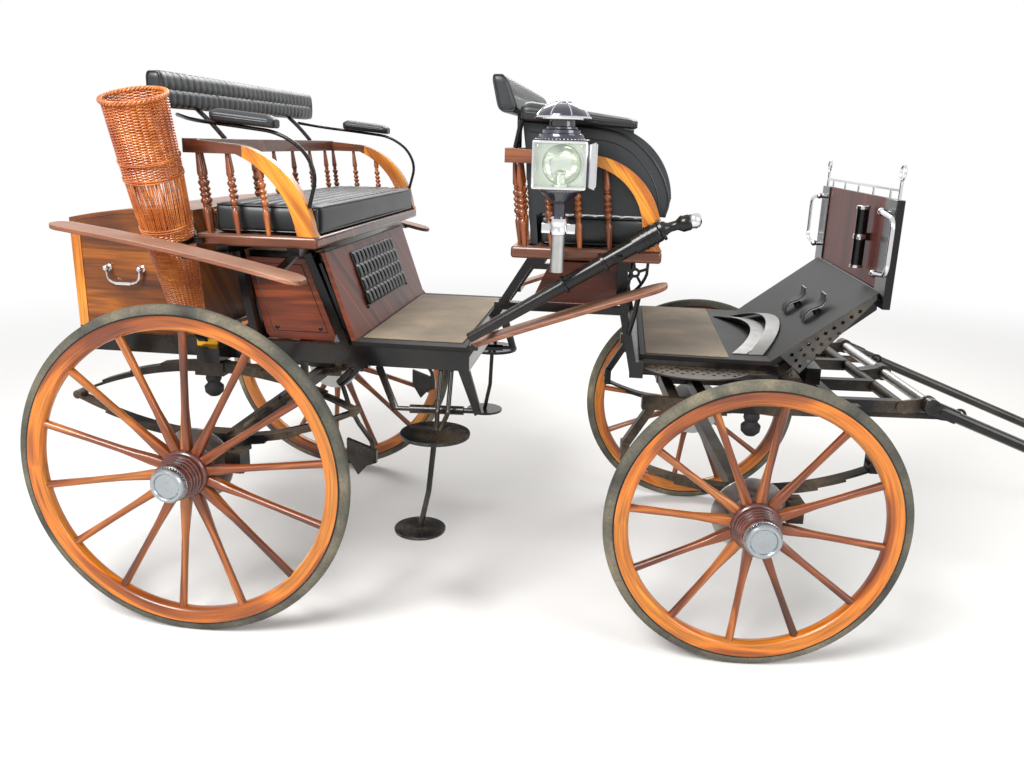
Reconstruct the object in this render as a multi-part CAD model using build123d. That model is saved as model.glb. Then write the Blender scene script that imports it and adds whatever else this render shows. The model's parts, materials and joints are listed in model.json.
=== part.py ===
from build123d import *
import math
import os

# Four-wheeled pleasure carriage with a driver's seat in front, a passenger seat behind,
# a cut-under body that lets the front wheels turn below it, and a pair of shafts that
# rest on the ground while it stands. Millimetres, +X forward, +Y to its left, +Z up.
# While it is drawn, x = 0 is the rear axle and z = 0 the ground.

# Running gear
wheelbase = 1750.0
rear_wheel_radius = 549.0
front_wheel_radius = 473.0
rear_rim_face_y = 813.0
front_rim_face_y = 708.0
rear_spokes = 14
front_spokes = 12
rear_spoke_turn = 4.2
front_spoke_turn = 6.8
steer_at_rest = 4.5

# Wheel sections
tyre_depth = 34.0
tyre_width = 40.0
tyre_taper = 7.0
felloe_depth = 46.0
felloe_width = 45.0
spoke_root_width = 31.0
spoke_root_depth = 40.0
spoke_tip_width = 25.0
spoke_tip_depth = 28.0
wheel_dish = 25.0
nave_radius = 80.0
nave_inboard = 90.0
nave_outboard = 78.0
cap_length = 31.0
cap_radius = 57.0
axle_arm_radius = 22.0
axle_running_gap = 0.08
brake_disc_radius = 122.0
brake_disc_thickness = 6.0
brake_hat_radius = 56.0
brake_hat_depth = 8.0
axle_bar = 46.0
axle_to_disc = 8.0

# Body and frame
body_half_width = 500.0
body_rear_x = -505.0
sill_bottom_z = 865.0
sill_top_z = 930.0
sill_width = 45.0
floor_board = 15.0
step_floor_rear_x = 470.0
step_floor_front_x = 867.0
front_floor_rear_x = 1418.0
front_floor_front_x = 1832.0
front_floor_half_width = 450.0
toe_top_x = 2142.8
toe_top_z = 1188.0
cut_under_z = 1078.0
box_wall = 18.0
post_width = 40.0
post_depth = 26.0

# Seats
seat_bottom_z = 1262.0
seat_rail_height = 36.0
seat_rail_width = 45.0
seat_board = 12.0
bearer_height = 27.0
cushion_top_z = 1392.0
cushion_gap = 0.3
arm_rail_thickness = 40.0
arm_rail_height = 42.0
arm_rail_top_z = 1580.0
rear_seat_rear_x = 5.0
rear_seat_front_x = 417.0
rear_seat_half_width = 656.0
driver_seat_rear_x = 985.0
driver_seat_front_x = 1457.0
driver_seat_half_width = 636.0

# Dashboard
dash_x = 2134.0
dash_thickness = 24.0
dash_half_width = 500.0
dash_panel_half_width = 385.0
dash_bottom_z = 1137.0
dash_top_z = 1463.0

# Springs
leaf_thickness = 8.0
leaf_width = 45.0
leaf_count = 4
rear_spring_y = 540.0
rear_spring_half_length = 490.0
rear_spring_sag = 112.0
front_spring_y = 480.0
front_spring_half_length = 400.0
front_spring_sag = 85.0
spring_eye_radius = 15.0

# Turntable and front gear
turntable_radius = 240.0
turntable_ring_width = 50.0
turntable_z = 838.0
turntable_plate = 18.0
turntable_gap = 0.5
gear_rear_x = wheelbase - 355
gear_front_x = wheelbase + 335
king_pin_radius = 16.0
gear_beam_width = 34.0
gear_beam_height = 40.0
gear_beam_top_z = turntable_z - turntable_plate
draught_bar_x = wheelbase + 495
draught_bar_z = 800.0
draught_bar_radius = 19.0
draught_bar_half_width = 424.0

# Shafts
shaft_pivot_x = wheelbase + 575
shaft_pivot_z = 815.0
shaft_pivot_y = 445.0
shaft_radius = 19.0
shaft_length = 2200.0
shaft_bend_from_tip = 700.0
shaft_tip_y = 370.0
shaft_pin_radius = 10.0
shaft_pin_gap = 0.06
shaft_lug_thickness = 12.0
crossbar_radius = 18.0

fit_gap = 0.2

nodes = {}
steered_nodes = set()


def save(name, *pieces, steered=False):
    """Keeps a named piece, made of one or more solids."""
    solids = [solid for piece in pieces for solid in piece.solids()]
    nodes.setdefault(name, []).extend(solids)
    if steered:
        steered_nodes.add(name)


def both(shape):
    """The shape and its mirror image on the other side of the carriage."""
    return Compound(list(shape.solids()) + list(mirror(shape, about=Plane.XZ).solids()))


def less(shape, *others):
    """The shape without what it shares with pieces that are already saved."""
    for name in others:
        for solid in nodes[name]:
            shape = shape - solid
    return shape


def block(x, y, z):
    """A box between the low and high values of x, y and z."""
    size = Box(x[1] - x[0], y[1] - y[0], z[1] - z[0])
    return Pos((x[0] + x[1]) / 2, (y[0] + y[1]) / 2, (z[0] + z[1]) / 2) * size


def upright(outline, y_low, y_high):
    """A plate of an outline drawn in x and z, between two values of y."""
    return extrude(Plane.XZ.offset(-y_high) * outline, amount=y_high - y_low)


def polygon(*points):
    return make_face(Polyline(*points, close=True))


def bar(start, end, width, depth, across=(0, 1, 0)):
    """A straight bar of rectangular section, its width along the direction across."""
    run = Vector(*end) - Vector(*start)
    plane = Plane(origin=start, x_dir=across, z_dir=run)
    return extrude(plane * Rectangle(width, depth), amount=run.length)


def rod(points, radius, bend=30.0):
    """A round rod through points, with arcs of one radius at its corners."""
    path = FilletPolyline(*points, radius=bend) if len(points) > 2 else Line(*points)
    return sweep(Plane(origin=path @ 0, z_dir=path % 0) * Circle(radius), path=path)


def turned(profile, axis=Axis.Z):
    """A turned piece from radius and height pairs."""
    if axis == Axis.Y:
        return revolve(make_face(Polyline(*profile, close=True)), axis=Axis.Y)
    flat = Plane.XZ * make_face(Polyline(*profile, close=True))
    return revolve(flat, axis=Axis.Z)


def iron_ring(radius, wire):
    """A ring around Z of six-sided wire."""
    profile = [(radius + wire * math.cos(math.radians(60 * index)), wire * math.sin(math.radians(60 * index)))
               for index in range(6)]
    return turned(profile)


# Wheels, drawn with the axle along Y, outboard towards +Y and the rim's middle at y = 0

def tyre(radius):
    inner = radius - tyre_depth
    half = tyre_width / 2
    crown = half - tyre_taper
    profile = [(inner + fit_gap, -half), (radius, -crown), (radius, crown), (inner + fit_gap, half)]
    return turned(profile, Axis.Y)


def spoke(root_radius, tip_radius):
    root = Plane(origin=(0, -wheel_dish, root_radius), x_dir=(1, 0, 0), z_dir=(0, 0, 1))
    tip = Plane(origin=(0, 0, tip_radius), x_dir=(1, 0, 0), z_dir=(0, 0, 1))
    root_face = root * chamfered(spoke_root_width, spoke_root_depth)
    tip_face = tip * chamfered(spoke_tip_width, spoke_tip_depth)
    return loft([root_face, tip_face], ruled=True)


def chamfered(width, depth):
    face = Rectangle(width, depth)
    return chamfer(face.vertices(), length=0.28 * width)


def wooden_wheel(radius, spokes, spoke_turn):
    outer = radius - tyre_depth
    inner = outer - felloe_depth
    half = felloe_width / 2
    rim = [(inner, -half + 8), (inner + 8, -half), (outer, -half)]
    rim += [(outer, half), (inner + 8, half), (inner, half - 8)]
    bore = axle_arm_radius + axle_running_gap
    nave = [(bore, -nave_inboard), (nave_radius - 20, -nave_inboard), (nave_radius - 16, -65)]
    nave += [(nave_radius, -52), (nave_radius, 2), (nave_radius - 9, 8)]
    nave += [(nave_radius - 12, 34), (nave_radius - 17, 40), (nave_radius - 20, nave_outboard)]
    nave += [(bore, nave_outboard)]
    wheel = turned(rim, Axis.Y) + turned(nave, Axis.Y)
    one_spoke = spoke(nave_radius - 12, inner + 10)
    turns = [Rot(0, spoke_turn + 360 * index / spokes, 0) * one_spoke for index in range(spokes)]
    return wheel + turns


def hub_metal():
    base = nave_outboard + fit_gap
    cap = [(0, base), (cap_radius, base), (cap_radius, base + 18), (cap_radius - 5, base + cap_length)]
    cap += [(cap_radius - 18, base + cap_length), (cap_radius - 22, base + cap_length - 7)]
    cap += [(0, base + cap_length - 7)]
    inner = -nave_inboard - fit_gap
    bore = axle_arm_radius + 2
    disc_y = inner - brake_hat_depth
    disc = [(bore, inner), (brake_hat_radius, inner), (brake_hat_radius, disc_y)]
    disc += [(brake_disc_radius, disc_y), (brake_disc_radius, disc_y - brake_disc_thickness)]
    disc += [(bore, disc_y - brake_disc_thickness)]
    return [turned(cap, Axis.Y), turned(disc, Axis.Y)]


# Columns: name, radius, rim face y, x of the axle, spokes, turn of the spokes, whether the turntable carries it
wheel_rows = [
    ("rear", rear_wheel_radius, rear_rim_face_y, 0.0, rear_spokes, rear_spoke_turn, False),
    ("front", front_wheel_radius, front_rim_face_y, wheelbase, front_spokes, front_spoke_turn, True),
]
for end, radius, rim_face_y, axle_x, spokes, spoke_turn, steered in wheel_rows:
    place = Pos(axle_x, rim_face_y - felloe_width / 2, radius)
    for side in ("left", "right"):
        pieces = [("tyre", [tyre(radius)]), ("wheel", [wooden_wheel(radius, spokes, spoke_turn)])]
        pieces += [("hub", hub_metal())]
        for piece_name, solids in pieces:
            placed = [place * solid for solid in solids]
            if side == "right":
                placed = [mirror(solid, about=Plane.XZ) for solid in placed]
            save(f"{piece_name}_{end}_{side}", *placed, steered=steered)


def axle(radius, rim_face_y, axle_x):
    """Square axle bar with round arms in the naves and a flange inboard of each disc."""
    rim_y = rim_face_y - felloe_width / 2
    disc_inner_y = rim_y - nave_inboard - fit_gap - brake_hat_depth - brake_disc_thickness
    bar_end = disc_inner_y - axle_to_disc
    beam = block((axle_x - axle_bar / 2, axle_x + axle_bar / 2), (-bar_end, bar_end),
                 (radius - axle_bar / 2, radius + axle_bar / 2))
    arm_length = 2 * (rim_y + nave_outboard - 6)
    arms = Pos(axle_x, 0, radius) * Rot(90, 0, 0) * Cylinder(axle_arm_radius, arm_length)
    flange = Pos(axle_x, bar_end - 5, radius) * Rot(90, 0, 0) * Cylinder(46, 10)
    plate = block((axle_x + 40, axle_x + 150), (bar_end - 10, bar_end), (radius - 30, radius + 60))
    caliper_x = axle_x + brake_disc_radius - 12
    disc_middle = disc_inner_y + brake_disc_thickness / 2
    body = block((caliper_x, caliper_x + 52), (bar_end - 30, disc_middle + 34), (radius - 12, radius + 58))
    slot = block((caliper_x - 20, axle_x + brake_disc_radius + 8),
                 (disc_middle - 9, disc_middle + 9), (radius - 60, radius + 90))
    link = block((axle_x, axle_x + 60), (bar_end - 10, bar_end), (radius - 16, radius + 16))
    ends = flange + plate + link + (body - slot)
    return beam + arms + ends + mirror(ends, about=Plane.XZ)


save("rear_axle", axle(rear_wheel_radius, rear_rim_face_y, 0.0))
save("front_axle", axle(front_wheel_radius, front_rim_face_y, wheelbase), steered=True)


def leaf_pack(half_length, sag):
    """Bowed leaf pack in x and z: its main leaf's top is at z = 0 in the middle."""
    middle_radius = (half_length ** 2 + sag ** 2) / (2 * sag)
    centre_z = middle_radius
    pack = None
    for index in range(leaf_count):
        share = 1 - 0.22 * index
        inner = middle_radius + index * leaf_thickness
        outer = inner + leaf_thickness
        angle = share * math.degrees(math.asin(half_length / middle_radius))
        leaf = arc_band((0, centre_z), inner, outer, 270 - angle, 270 + angle)
        pack = leaf if pack is None else pack + leaf
    return pack


def arc_band(centre, inner, outer, from_angle, to_angle):
    """A face between two arcs of one centre."""
    def at(radius, angle):
        turn = math.radians(angle)
        return (centre[0] + radius * math.cos(turn), centre[1] + radius * math.sin(turn))
    middle = (from_angle + to_angle) / 2
    low = ThreePointArc(at(inner, from_angle), at(inner, middle), at(inner, to_angle))
    high = ThreePointArc(at(outer, to_angle), at(outer, middle), at(outer, from_angle))
    return make_face([low, Line(at(inner, to_angle), at(outer, to_angle)), high,
                      Line(at(outer, from_angle), at(inner, from_angle))])


def spring_eyes(half_length, eye_z):
    eye = Pos(half_length, eye_z) * Circle(spring_eye_radius)
    return eye + Pos(-half_length, eye_z) * Circle(spring_eye_radius)


pack_height = leaf_count * leaf_thickness
rear_lower_main_z = rear_wheel_radius + axle_bar / 2 + pack_height
rear_eye_z = rear_lower_main_z + rear_spring_sag
rear_upper_main_z = rear_eye_z + rear_spring_sag
rear_spring_top_z = rear_upper_main_z + pack_height


def elliptic_spring():
    lower = Pos(0, rear_lower_main_z) * leaf_pack(rear_spring_half_length, rear_spring_sag)
    upper = Pos(0, rear_upper_main_z) * mirror(leaf_pack(rear_spring_half_length, rear_spring_sag), about=Plane.XZ)
    face = lower + upper + spring_eyes(rear_spring_half_length, rear_eye_z)
    spring = upright(face, rear_spring_y - leaf_width / 2, rear_spring_y + leaf_width / 2)
    clip_y = (rear_spring_y - leaf_width / 2 - 8, rear_spring_y + leaf_width / 2 + 8)
    top_clip = block((-50, 50), clip_y, (rear_upper_main_z - 12, rear_spring_top_z))
    low_clip = block((-50, 50), clip_y, (rear_lower_main_z - pack_height, rear_lower_main_z + 12))
    return spring + top_clip + low_clip


save("rear_springs", both(elliptic_spring()))

front_main_z = front_wheel_radius + axle_bar / 2 + pack_height
front_eye_z = front_main_z + front_spring_sag


def half_elliptic_spring():
    face = Pos(0, front_main_z) * leaf_pack(front_spring_half_length, front_spring_sag)
    face = face + spring_eyes(front_spring_half_length, front_eye_z)
    spring = upright(face, front_spring_y - leaf_width / 2, front_spring_y + leaf_width / 2)
    clip_y = (front_spring_y - leaf_width / 2 - 8, front_spring_y + leaf_width / 2 + 8)
    clip = block((-50, 50), clip_y, (front_main_z - pack_height, front_main_z + 12))
    return Pos(wheelbase, 0, 0) * (spring + clip)


save("front_springs", both(half_elliptic_spring()), steered=True)

# Rubber stops: one hangs above each end of each axle
stop_profile = [(0, 0), (16, 0), (30, 14), (32, 34), (20, 46), (26, 60), (24, 76), (0, 76)]
rear_stop_z = rear_upper_main_z - 12 - fit_gap - 76
rear_stop = Pos(0, rear_spring_y, rear_stop_z) * turned(stop_profile)
front_stop_z = gear_beam_top_z - gear_beam_height - fit_gap - 76
front_stop = Pos(wheelbase, front_spring_y, front_stop_z) * turned(stop_profile)
save("rear_bump_stops", both(rear_stop))
save("front_bump_stops", both(front_stop), steered=True)


def draught_tube(radius):
    return Pos(draught_bar_x, 0, draught_bar_z) * Rot(90, 0, 0) * Cylinder(radius, 2 * draught_bar_half_width)


def draught_bar():
    """Cross tube with three pairs of lugs that hold the shafts' crossbar."""
    tube = draught_tube(draught_bar_radius)
    lug_y = draught_bar_half_width - shaft_lug_thickness / 2
    for y, hole in [(-lug_y, shaft_pin_radius), (0.0, crossbar_radius), (lug_y, shaft_pin_radius)]:
        start = (draught_bar_x, y, draught_bar_z)
        width = 50.0 if y == 0 else shaft_lug_thickness
        lug = bar(start, (shaft_pivot_x, y, shaft_pivot_z), width, 44)
        boss = Pos(shaft_pivot_x, y, shaft_pivot_z) * Rot(90, 0, 0) * Cylinder(28, width)
        tube = tube + lug + boss
    for y, hole in [(-lug_y, shaft_pin_radius), (0.0, crossbar_radius), (lug_y, shaft_pin_radius)]:
        drill = Pos(shaft_pivot_x, y, shaft_pivot_z) * Rot(90, 0, 0) * Cylinder(hole + shaft_pin_gap, 60)
        tube = tube - drill
    return tube


save("draught_bar", draught_bar(), steered=True)

# Front gear under the turntable

def front_gear():
    z = (gear_beam_top_z - gear_beam_height, gear_beam_top_z)
    half = gear_beam_width / 2
    beams = []
    # Lengthwise beams: y of the middle, low x, high x
    for y, low_x, high_x in [(front_spring_y, gear_rear_x, gear_front_x), (150, wheelbase - 270, draught_bar_x)]:
        beam = block((low_x, high_x), (y - half, y + half), z)
        beams += [beam, mirror(beam, about=Plane.XZ)]
    for x in (wheelbase - 250, wheelbase - 150, wheelbase, wheelbase + 150, gear_front_x - 55):
        beams.append(block((x - half, x + half), (-front_spring_y, front_spring_y), z))
    outer = block((gear_front_x - 72, draught_bar_x), (400 - half, 400 + half), z)
    beams += [outer, mirror(outer, about=Plane.XZ)]
    hanger_top = gear_beam_top_z - gear_beam_height / 2
    for end, tip_x in ((1, gear_front_x), (-1, gear_rear_x + 20)):
        shackle_x = wheelbase + end * front_spring_half_length
        leg = bar((tip_x - end * 20, front_spring_y, hanger_top), (shackle_x, front_spring_y, front_eye_z + 44),
                  gear_beam_width, 26)
        for plate_y in (-1, 1):
            y = front_spring_y + plate_y * (leaf_width / 2 + 4)
            shackle = bar((shackle_x, y, front_eye_z + 52), (shackle_x, y, front_eye_z - 14), 6, 26)
            leg = leg + shackle
        leg = leg + block((shackle_x - 13, shackle_x + 13),
                          (front_spring_y - leaf_width / 2 - 7, front_spring_y + leaf_width / 2 + 7),
                          (front_eye_z + 24, front_eye_z + 52))
        beams += [leg, mirror(leg, about=Plane.XZ)]
    gear = beams[0]
    for beam in beams[1:]:
        gear = gear + beam
    return gear


save("front_gear_frame", less(front_gear(), "draught_bar"), steered=True)


def ring(outer, width, low_z, high_z):
    band = Circle(outer) - Circle(outer - width)
    return Pos(wheelbase, 0, low_z) * extrude(band, amount=high_z - low_z)


lower_ring = ring(turntable_radius, turntable_ring_width, gear_beam_top_z, turntable_z - turntable_gap)
king_pin = Pos(wheelbase, 0, (gear_beam_top_z + turntable_z + 22) / 2)
king_pin = king_pin * Cylinder(king_pin_radius, turntable_z + 22 - gear_beam_top_z)
save("turntable_lower", lower_ring, king_pin, steered=True)
upper_ring_top = sill_bottom_z + 12
save("turntable_upper", ring(turntable_radius, turntable_ring_width, turntable_z, upper_ring_top))


# Shafts and their crossbar, which turn about the draught bar's lugs
shaft_drop = math.asin((shaft_pivot_z - shaft_radius) / shaft_length)
shaft_dir = (math.cos(shaft_drop), -math.sin(shaft_drop))


def along_shaft(distance, y):
    return (shaft_pivot_x + distance * shaft_dir[0], y, shaft_pivot_z + distance * shaft_dir[1])


def shaft():
    points = [along_shaft(30, shaft_pivot_y), along_shaft(shaft_length - shaft_bend_from_tip, shaft_pivot_y),
              along_shaft(shaft_length, shaft_tip_y)]
    pole = rod(points, shaft_radius, bend=1500)
    tip = Pos(*along_shaft(shaft_length, shaft_tip_y)) * Sphere(shaft_radius)
    head = Pos(*along_shaft(0, shaft_pivot_y)) * Rot(90, 0, 0) * Cylinder(26, 30)
    head = head + bar(along_shaft(0, shaft_pivot_y), along_shaft(90, shaft_pivot_y), 30, 44)
    return pole + tip + head


save("shafts", both(shaft()), steered=True)
crossbar_half = draught_bar_half_width - shaft_lug_thickness - 5
crossbar = Pos(shaft_pivot_x, 0, shaft_pivot_z) * Rot(90, 0, 0) * Cylinder(crossbar_radius, 2 * crossbar_half)
pin_half = shaft_pivot_y - 15 - fit_gap
pins = Pos(shaft_pivot_x, 0, shaft_pivot_z) * Rot(90, 0, 0) * Cylinder(shaft_pin_radius, 2 * pin_half)
save("shaft_crossbar", crossbar + pins, steered=True)


# Body frame

def lean(y_inner, y_outer, points, depth):
    """A leaning post through points in x and z, on both sides."""
    pieces = []
    for start, end in zip(points, points[1:]):
        middle = (y_inner + y_outer) / 2
        pieces.append(bar((start[0], middle, start[1]), (end[0], middle, end[1]), y_outer - y_inner, depth))
    return pieces


def body_frame():
    outer = body_half_width
    inner = outer - sill_width
    side = []
    side.append(block((body_rear_x, step_floor_front_x), (inner, outer), (sill_bottom_z, sill_top_z)))
    side += lean(outer - post_width, outer, [(140, sill_top_z - 10), (80, seat_bottom_z - 10)], post_depth)
    side += lean(outer - post_width, outer, [(452, sill_top_z - 10), (318, seat_bottom_z - 10)], post_depth)
    side += lean(outer - post_width, outer, [(855, sill_top_z - 10), (960, 1080), (1065, seat_bottom_z - 10)], post_depth)
    side.append(block((945, 1372), (outer - post_width, outer), (cut_under_z, cut_under_z + 24)))
    side += lean(outer - post_width, outer, [(1345, seat_bottom_z - 10), (1360, 1080), (1402, sill_bottom_z + 24)], post_depth)
    side.append(block((1388, front_floor_front_x + 30), (front_floor_half_width - 40, front_floor_half_width),
                      (sill_bottom_z + 12, sill_top_z)))
    side += lean(front_floor_half_width - 30, front_floor_half_width,
                 [(front_floor_front_x + 14, sill_top_z - 30), (toe_top_x + 4, toe_top_z - 34)], 24)
    frame = side[0]
    for piece in side[1:]:
        frame = frame + piece
    frame = frame + mirror(frame, about=Plane.XZ)
    cross_z = (sill_bottom_z, sill_top_z)
    for x in (body_rear_x + 25, 300, step_floor_front_x - 25):
        frame = frame + block((x - 25, x + 25), (-inner, inner), cross_z)
    frame = frame + block((-40, 40), (-rear_spring_y - 30, rear_spring_y + 30), (rear_spring_top_z, sill_top_z - 20))
    for x in (1410, wheelbase - turntable_radius + 20, wheelbase, wheelbase + turntable_radius - 20):
        reach = outer if x == 1410 else front_floor_half_width
        frame = frame + block((x - 22, x + 22), (-reach, reach), (upper_ring_top, sill_top_z))
    for x in (100, 330, 1085, 1350):
        reach = rear_seat_half_width - 30 if x < 800 else driver_seat_half_width - 30
        frame = frame + block((x - 20, x + 20), (-reach, reach), (seat_bottom_z - bearer_height, seat_bottom_z))
    hole = Pos(wheelbase, 0, sill_bottom_z) * Cylinder(king_pin_radius + 6, 60)
    return frame - hole


# Floors
save("step_floor", block((step_floor_rear_x, step_floor_front_x), (-body_half_width, body_half_width),
                         (sill_top_z, sill_top_z + floor_board)))
slope = math.atan2(toe_top_z - sill_top_z - floor_board, toe_top_x - front_floor_front_x)
rise = (floor_board * math.sin(slope), -floor_board * math.cos(slope))
foot_outline = polygon(
    (front_floor_rear_x, sill_top_z), (front_floor_rear_x, sill_top_z + floor_board),
    (front_floor_front_x, sill_top_z + floor_board), (toe_top_x, toe_top_z),
    (toe_top_x + rise[0], toe_top_z + rise[1]), (front_floor_front_x + rise[0], sill_top_z))
front_of_dash = block((dash_x - fit_gap, dash_x + 60), (-600, 600), (1000, 1300))
foot_boards = upright(foot_outline, -front_floor_half_width, front_floor_half_width)
save("foot_boards", foot_boards - front_of_dash)
save("body_frame", less(body_frame() - front_of_dash, "step_floor", "foot_boards"))


mat_thickness = 4.0
mat_low = sill_top_z + floor_board + fit_gap
mat_z = (mat_low, mat_low + mat_thickness)
step_mat = block((step_floor_rear_x + 24, step_floor_front_x - 32), (-440, 440), mat_z)
foot_mat = block((front_floor_rear_x + 20, front_floor_front_x - 128), (-430, 430), mat_z)
save("floor_mats", step_mat, foot_mat)

tread_z = 912.0
tread_plate = 5.0
tread_reach = 598.0
tread_front_x = front_floor_front_x + 28


def side_tread():
    """Perforated iron tread beside the front floor, widest where the driver climbs up."""
    inner = front_floor_half_width + fit_gap
    edge = ThreePointArc((front_floor_rear_x, inner + 16), (1580, tread_reach), (1762, inner + 52))
    plan = make_face([Line((front_floor_rear_x, inner), (front_floor_rear_x, inner + 16)), edge,
                      Line((1762, inner + 52), (tread_front_x, inner + 40)),
                      Line((tread_front_x, inner + 40), (tread_front_x, inner)),
                      Line((tread_front_x, inner), (front_floor_rear_x, inner))])
    holes = []
    for row in range(4):
        for column in range(13):
            x = front_floor_rear_x + 24 + column * 32 + 16 * (row % 2)
            y = inner + 18 + row * 24
            reach = arc_y(edge, x) if x < 1750 else inner + 44
            if y < reach - 16 and x < tread_front_x - 14:
                holes.append(Pos(x, y) * Rot(0, 0, 45) * Rectangle(11, 11))
    return Pos(0, 0, tread_z - tread_plate) * extrude(plan - holes, amount=tread_plate)


def arc_y(arc, x):
    """The y where an arc that bows towards +Y passes x."""
    centre = arc.arc_center
    return centre.Y + math.sqrt(max(arc.radius ** 2 - (x - centre.X) ** 2, 0))


def toe_strip():
    """Perforated strip that slopes down and outwards beside the toe-board and narrows to its top."""
    fall = math.radians(45)
    run = (math.cos(slope), 0, math.sin(slope))
    across = (math.sin(fall) * math.sin(slope), math.cos(fall), -math.sin(fall) * math.cos(slope))
    normal = Vector(*run).cross(Vector(*across))
    plane = Plane(origin=(front_floor_front_x, front_floor_half_width + 1.5, sill_top_z + floor_board), x_dir=run,
                  z_dir=normal)
    outline = polygon((34, 0), (52, 88), (366, 16), (374, 0))
    holes = [Pos(66 + 30 * column, 20 + 24 * row) * Rot(0, 0, 45) * Rectangle(11, 11)
             for row in range(3) for column in range(9 - 3 * row)]
    return extrude(plane * (outline - holes), amount=-4)


save("side_treads", both(less(side_tread() + toe_strip(), "body_frame", "foot_boards")))

# Seat boxes
quarter_outline = polygon((98, 1206), (306, 1206), (402, 952), (396, 932), (175, 932), (160, 950))
quarter = upright(quarter_outline, body_half_width - post_width - 14, body_half_width - post_width - fit_gap)
riser_top = seat_bottom_z - bearer_height - fit_gap
riser_foot = sill_top_z + floor_board + fit_gap
riser_outline = polygon((372, riser_top), (388, riser_top), (step_floor_rear_x + 16, riser_foot),
                        (step_floor_rear_x, riser_foot))
riser = upright(riser_outline, -body_half_width, body_half_width)
save("seat_boxes", both(quarter), less(riser, "body_frame"))


def driver_box():
    outline = polygon((1118, 1234.8), (1060, 1102.2), (1334, 1102.2), (1330, 1234.8))
    inside = polygon((1132, 1240), (1082, 1104 + box_wall), (1334 - box_wall, 1104 + box_wall), (1330 - box_wall, 1240))
    half = body_half_width - post_width - fit_gap
    return upright(outline, -half, half) - upright(inside, -half + box_wall, half - box_wall)


save("seat_boxes", less(driver_box(), "body_frame"))

# Rear box and its lid
rear_box_front_x = -64.0
rear_box_half_width = 480.0
lid_thickness = 15.0
lid_gap = 1.0


def box_top(raise_by):
    return ThreePointArc((body_rear_x, 1296 + raise_by), (-290, 1330 + raise_by), (rear_box_front_x, 1336 + raise_by))


def rear_box():
    top = box_top(0)
    outline = make_face([top, Line(top @ 1, (rear_box_front_x, sill_top_z)),
                         Line((rear_box_front_x, sill_top_z), (body_rear_x, sill_top_z)),
                         Line((body_rear_x, sill_top_z), top @ 0)])
    shell = upright(outline, -rear_box_half_width, rear_box_half_width)
    hollow = block((body_rear_x + box_wall, rear_box_front_x - box_wall),
                   (-rear_box_half_width + box_wall, rear_box_half_width - box_wall), (sill_top_z + box_wall, 1400))
    return shell - hollow


def box_lid():
    low = box_top(lid_gap)
    high = box_top(lid_gap + lid_thickness)
    face = make_face([low, Line(low @ 1, high @ 1), high, Line(high @ 0, low @ 0)])
    return upright(face, -rear_box_half_width, rear_box_half_width)


hinge_radius = 6.0
hinge_pin_radius = 2.5
hinge_z = box_top(lid_gap / 2).position_at(1).Y + 2


def knuckle(y_low, y_high):
    return Pos(rear_box_front_x + hinge_radius + 1, (y_low + y_high) / 2, hinge_z) * Rot(90, 0, 0) \
        * Cylinder(hinge_radius, y_high - y_low)


def hinge_drill(radius):
    return Pos(rear_box_front_x + hinge_radius + 1, 0, hinge_z) * Rot(90, 0, 0) * Cylinder(radius, 1200)


box = rear_box()
lid = box_lid()
for hinge_y in (-300, 300):
    leaf_x = (rear_box_front_x, rear_box_front_x + hinge_radius)
    box = box + (knuckle(hinge_y - 14, hinge_y + 14) - hinge_drill(hinge_pin_radius + 0.1))
    box = box + block((leaf_x[0], leaf_x[0] + 2.5), (hinge_y - 14, hinge_y + 14), (hinge_z - 40, hinge_z))
    for low_y, high_y in ((hinge_y - 45, hinge_y - 15), (hinge_y + 15, hinge_y + 45)):
        lid = lid + knuckle(low_y, high_y)
        lid = lid + block((leaf_x[0] - 4, leaf_x[1]), (low_y, high_y), (hinge_z, hinge_z + hinge_radius))
    pin = Pos(rear_box_front_x + hinge_radius + 1, hinge_y, hinge_z) * Rot(90, 0, 0)
    lid = lid + pin * Cylinder(hinge_pin_radius, 88)
save("rear_box", box)
save("rear_box_lid", lid)


# Seats: rows of rear x, front x, half width, x where the arm starts to fall, and the arm foot's width
def seat_base(rear_x, front_x, half_width):
    tray = block((rear_x + 25, front_x), (-half_width, half_width), (seat_bottom_z, seat_bottom_z + seat_rail_height))
    well = block((rear_x + 25 + seat_rail_width, front_x - seat_rail_width),
                 (-half_width + seat_rail_width, half_width - seat_rail_width),
                 (seat_bottom_z + seat_board, seat_bottom_z + 100))
    return tray - well


def arm_rail(rear_x, front_x, half_width, fall_x, outer_drop, inner_drop):
    """One side rail whose front end curves down to the seat base as an arm."""
    top = arm_rail_top_z
    low = top - arm_rail_height
    foot = seat_bottom_z + seat_rail_height + fit_gap
    outer = ThreePointArc((fall_x, top - 14), (front_x - 78, top - outer_drop), (front_x - 10, foot + 16))
    inner = ThreePointArc((front_x - 66, foot + 16), (front_x - 118, top - inner_drop), (fall_x - 12, low))
    outline = make_face([
        Line((rear_x, low), (rear_x, top)), Line((rear_x, top), outer @ 0), outer,
        Line(outer @ 1, (front_x, foot)), Line((front_x, foot), (front_x - 62, foot)),
        Line((front_x - 62, foot), inner @ 0), inner, Line(inner @ 1, (rear_x, low))])
    return upright(outline, half_width - arm_rail_thickness - 2, half_width - 2)


def seat_rail(rear_x, front_x, half_width, fall_x, outer_drop, inner_drop):
    side = arm_rail(rear_x, front_x, half_width, fall_x, outer_drop, inner_drop)
    back = block((rear_x, rear_x + arm_rail_thickness), (-half_width + 20, half_width - 20),
                 (arm_rail_top_z - arm_rail_height, arm_rail_top_z))
    return side + mirror(side, about=Plane.XZ) + back


spindle_foot_z = seat_bottom_z + seat_rail_height + fit_gap
spindle_top_z = arm_rail_top_z - arm_rail_height - fit_gap
spindle_length = spindle_top_z - spindle_foot_z
spindle_lean = 24.0
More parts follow.
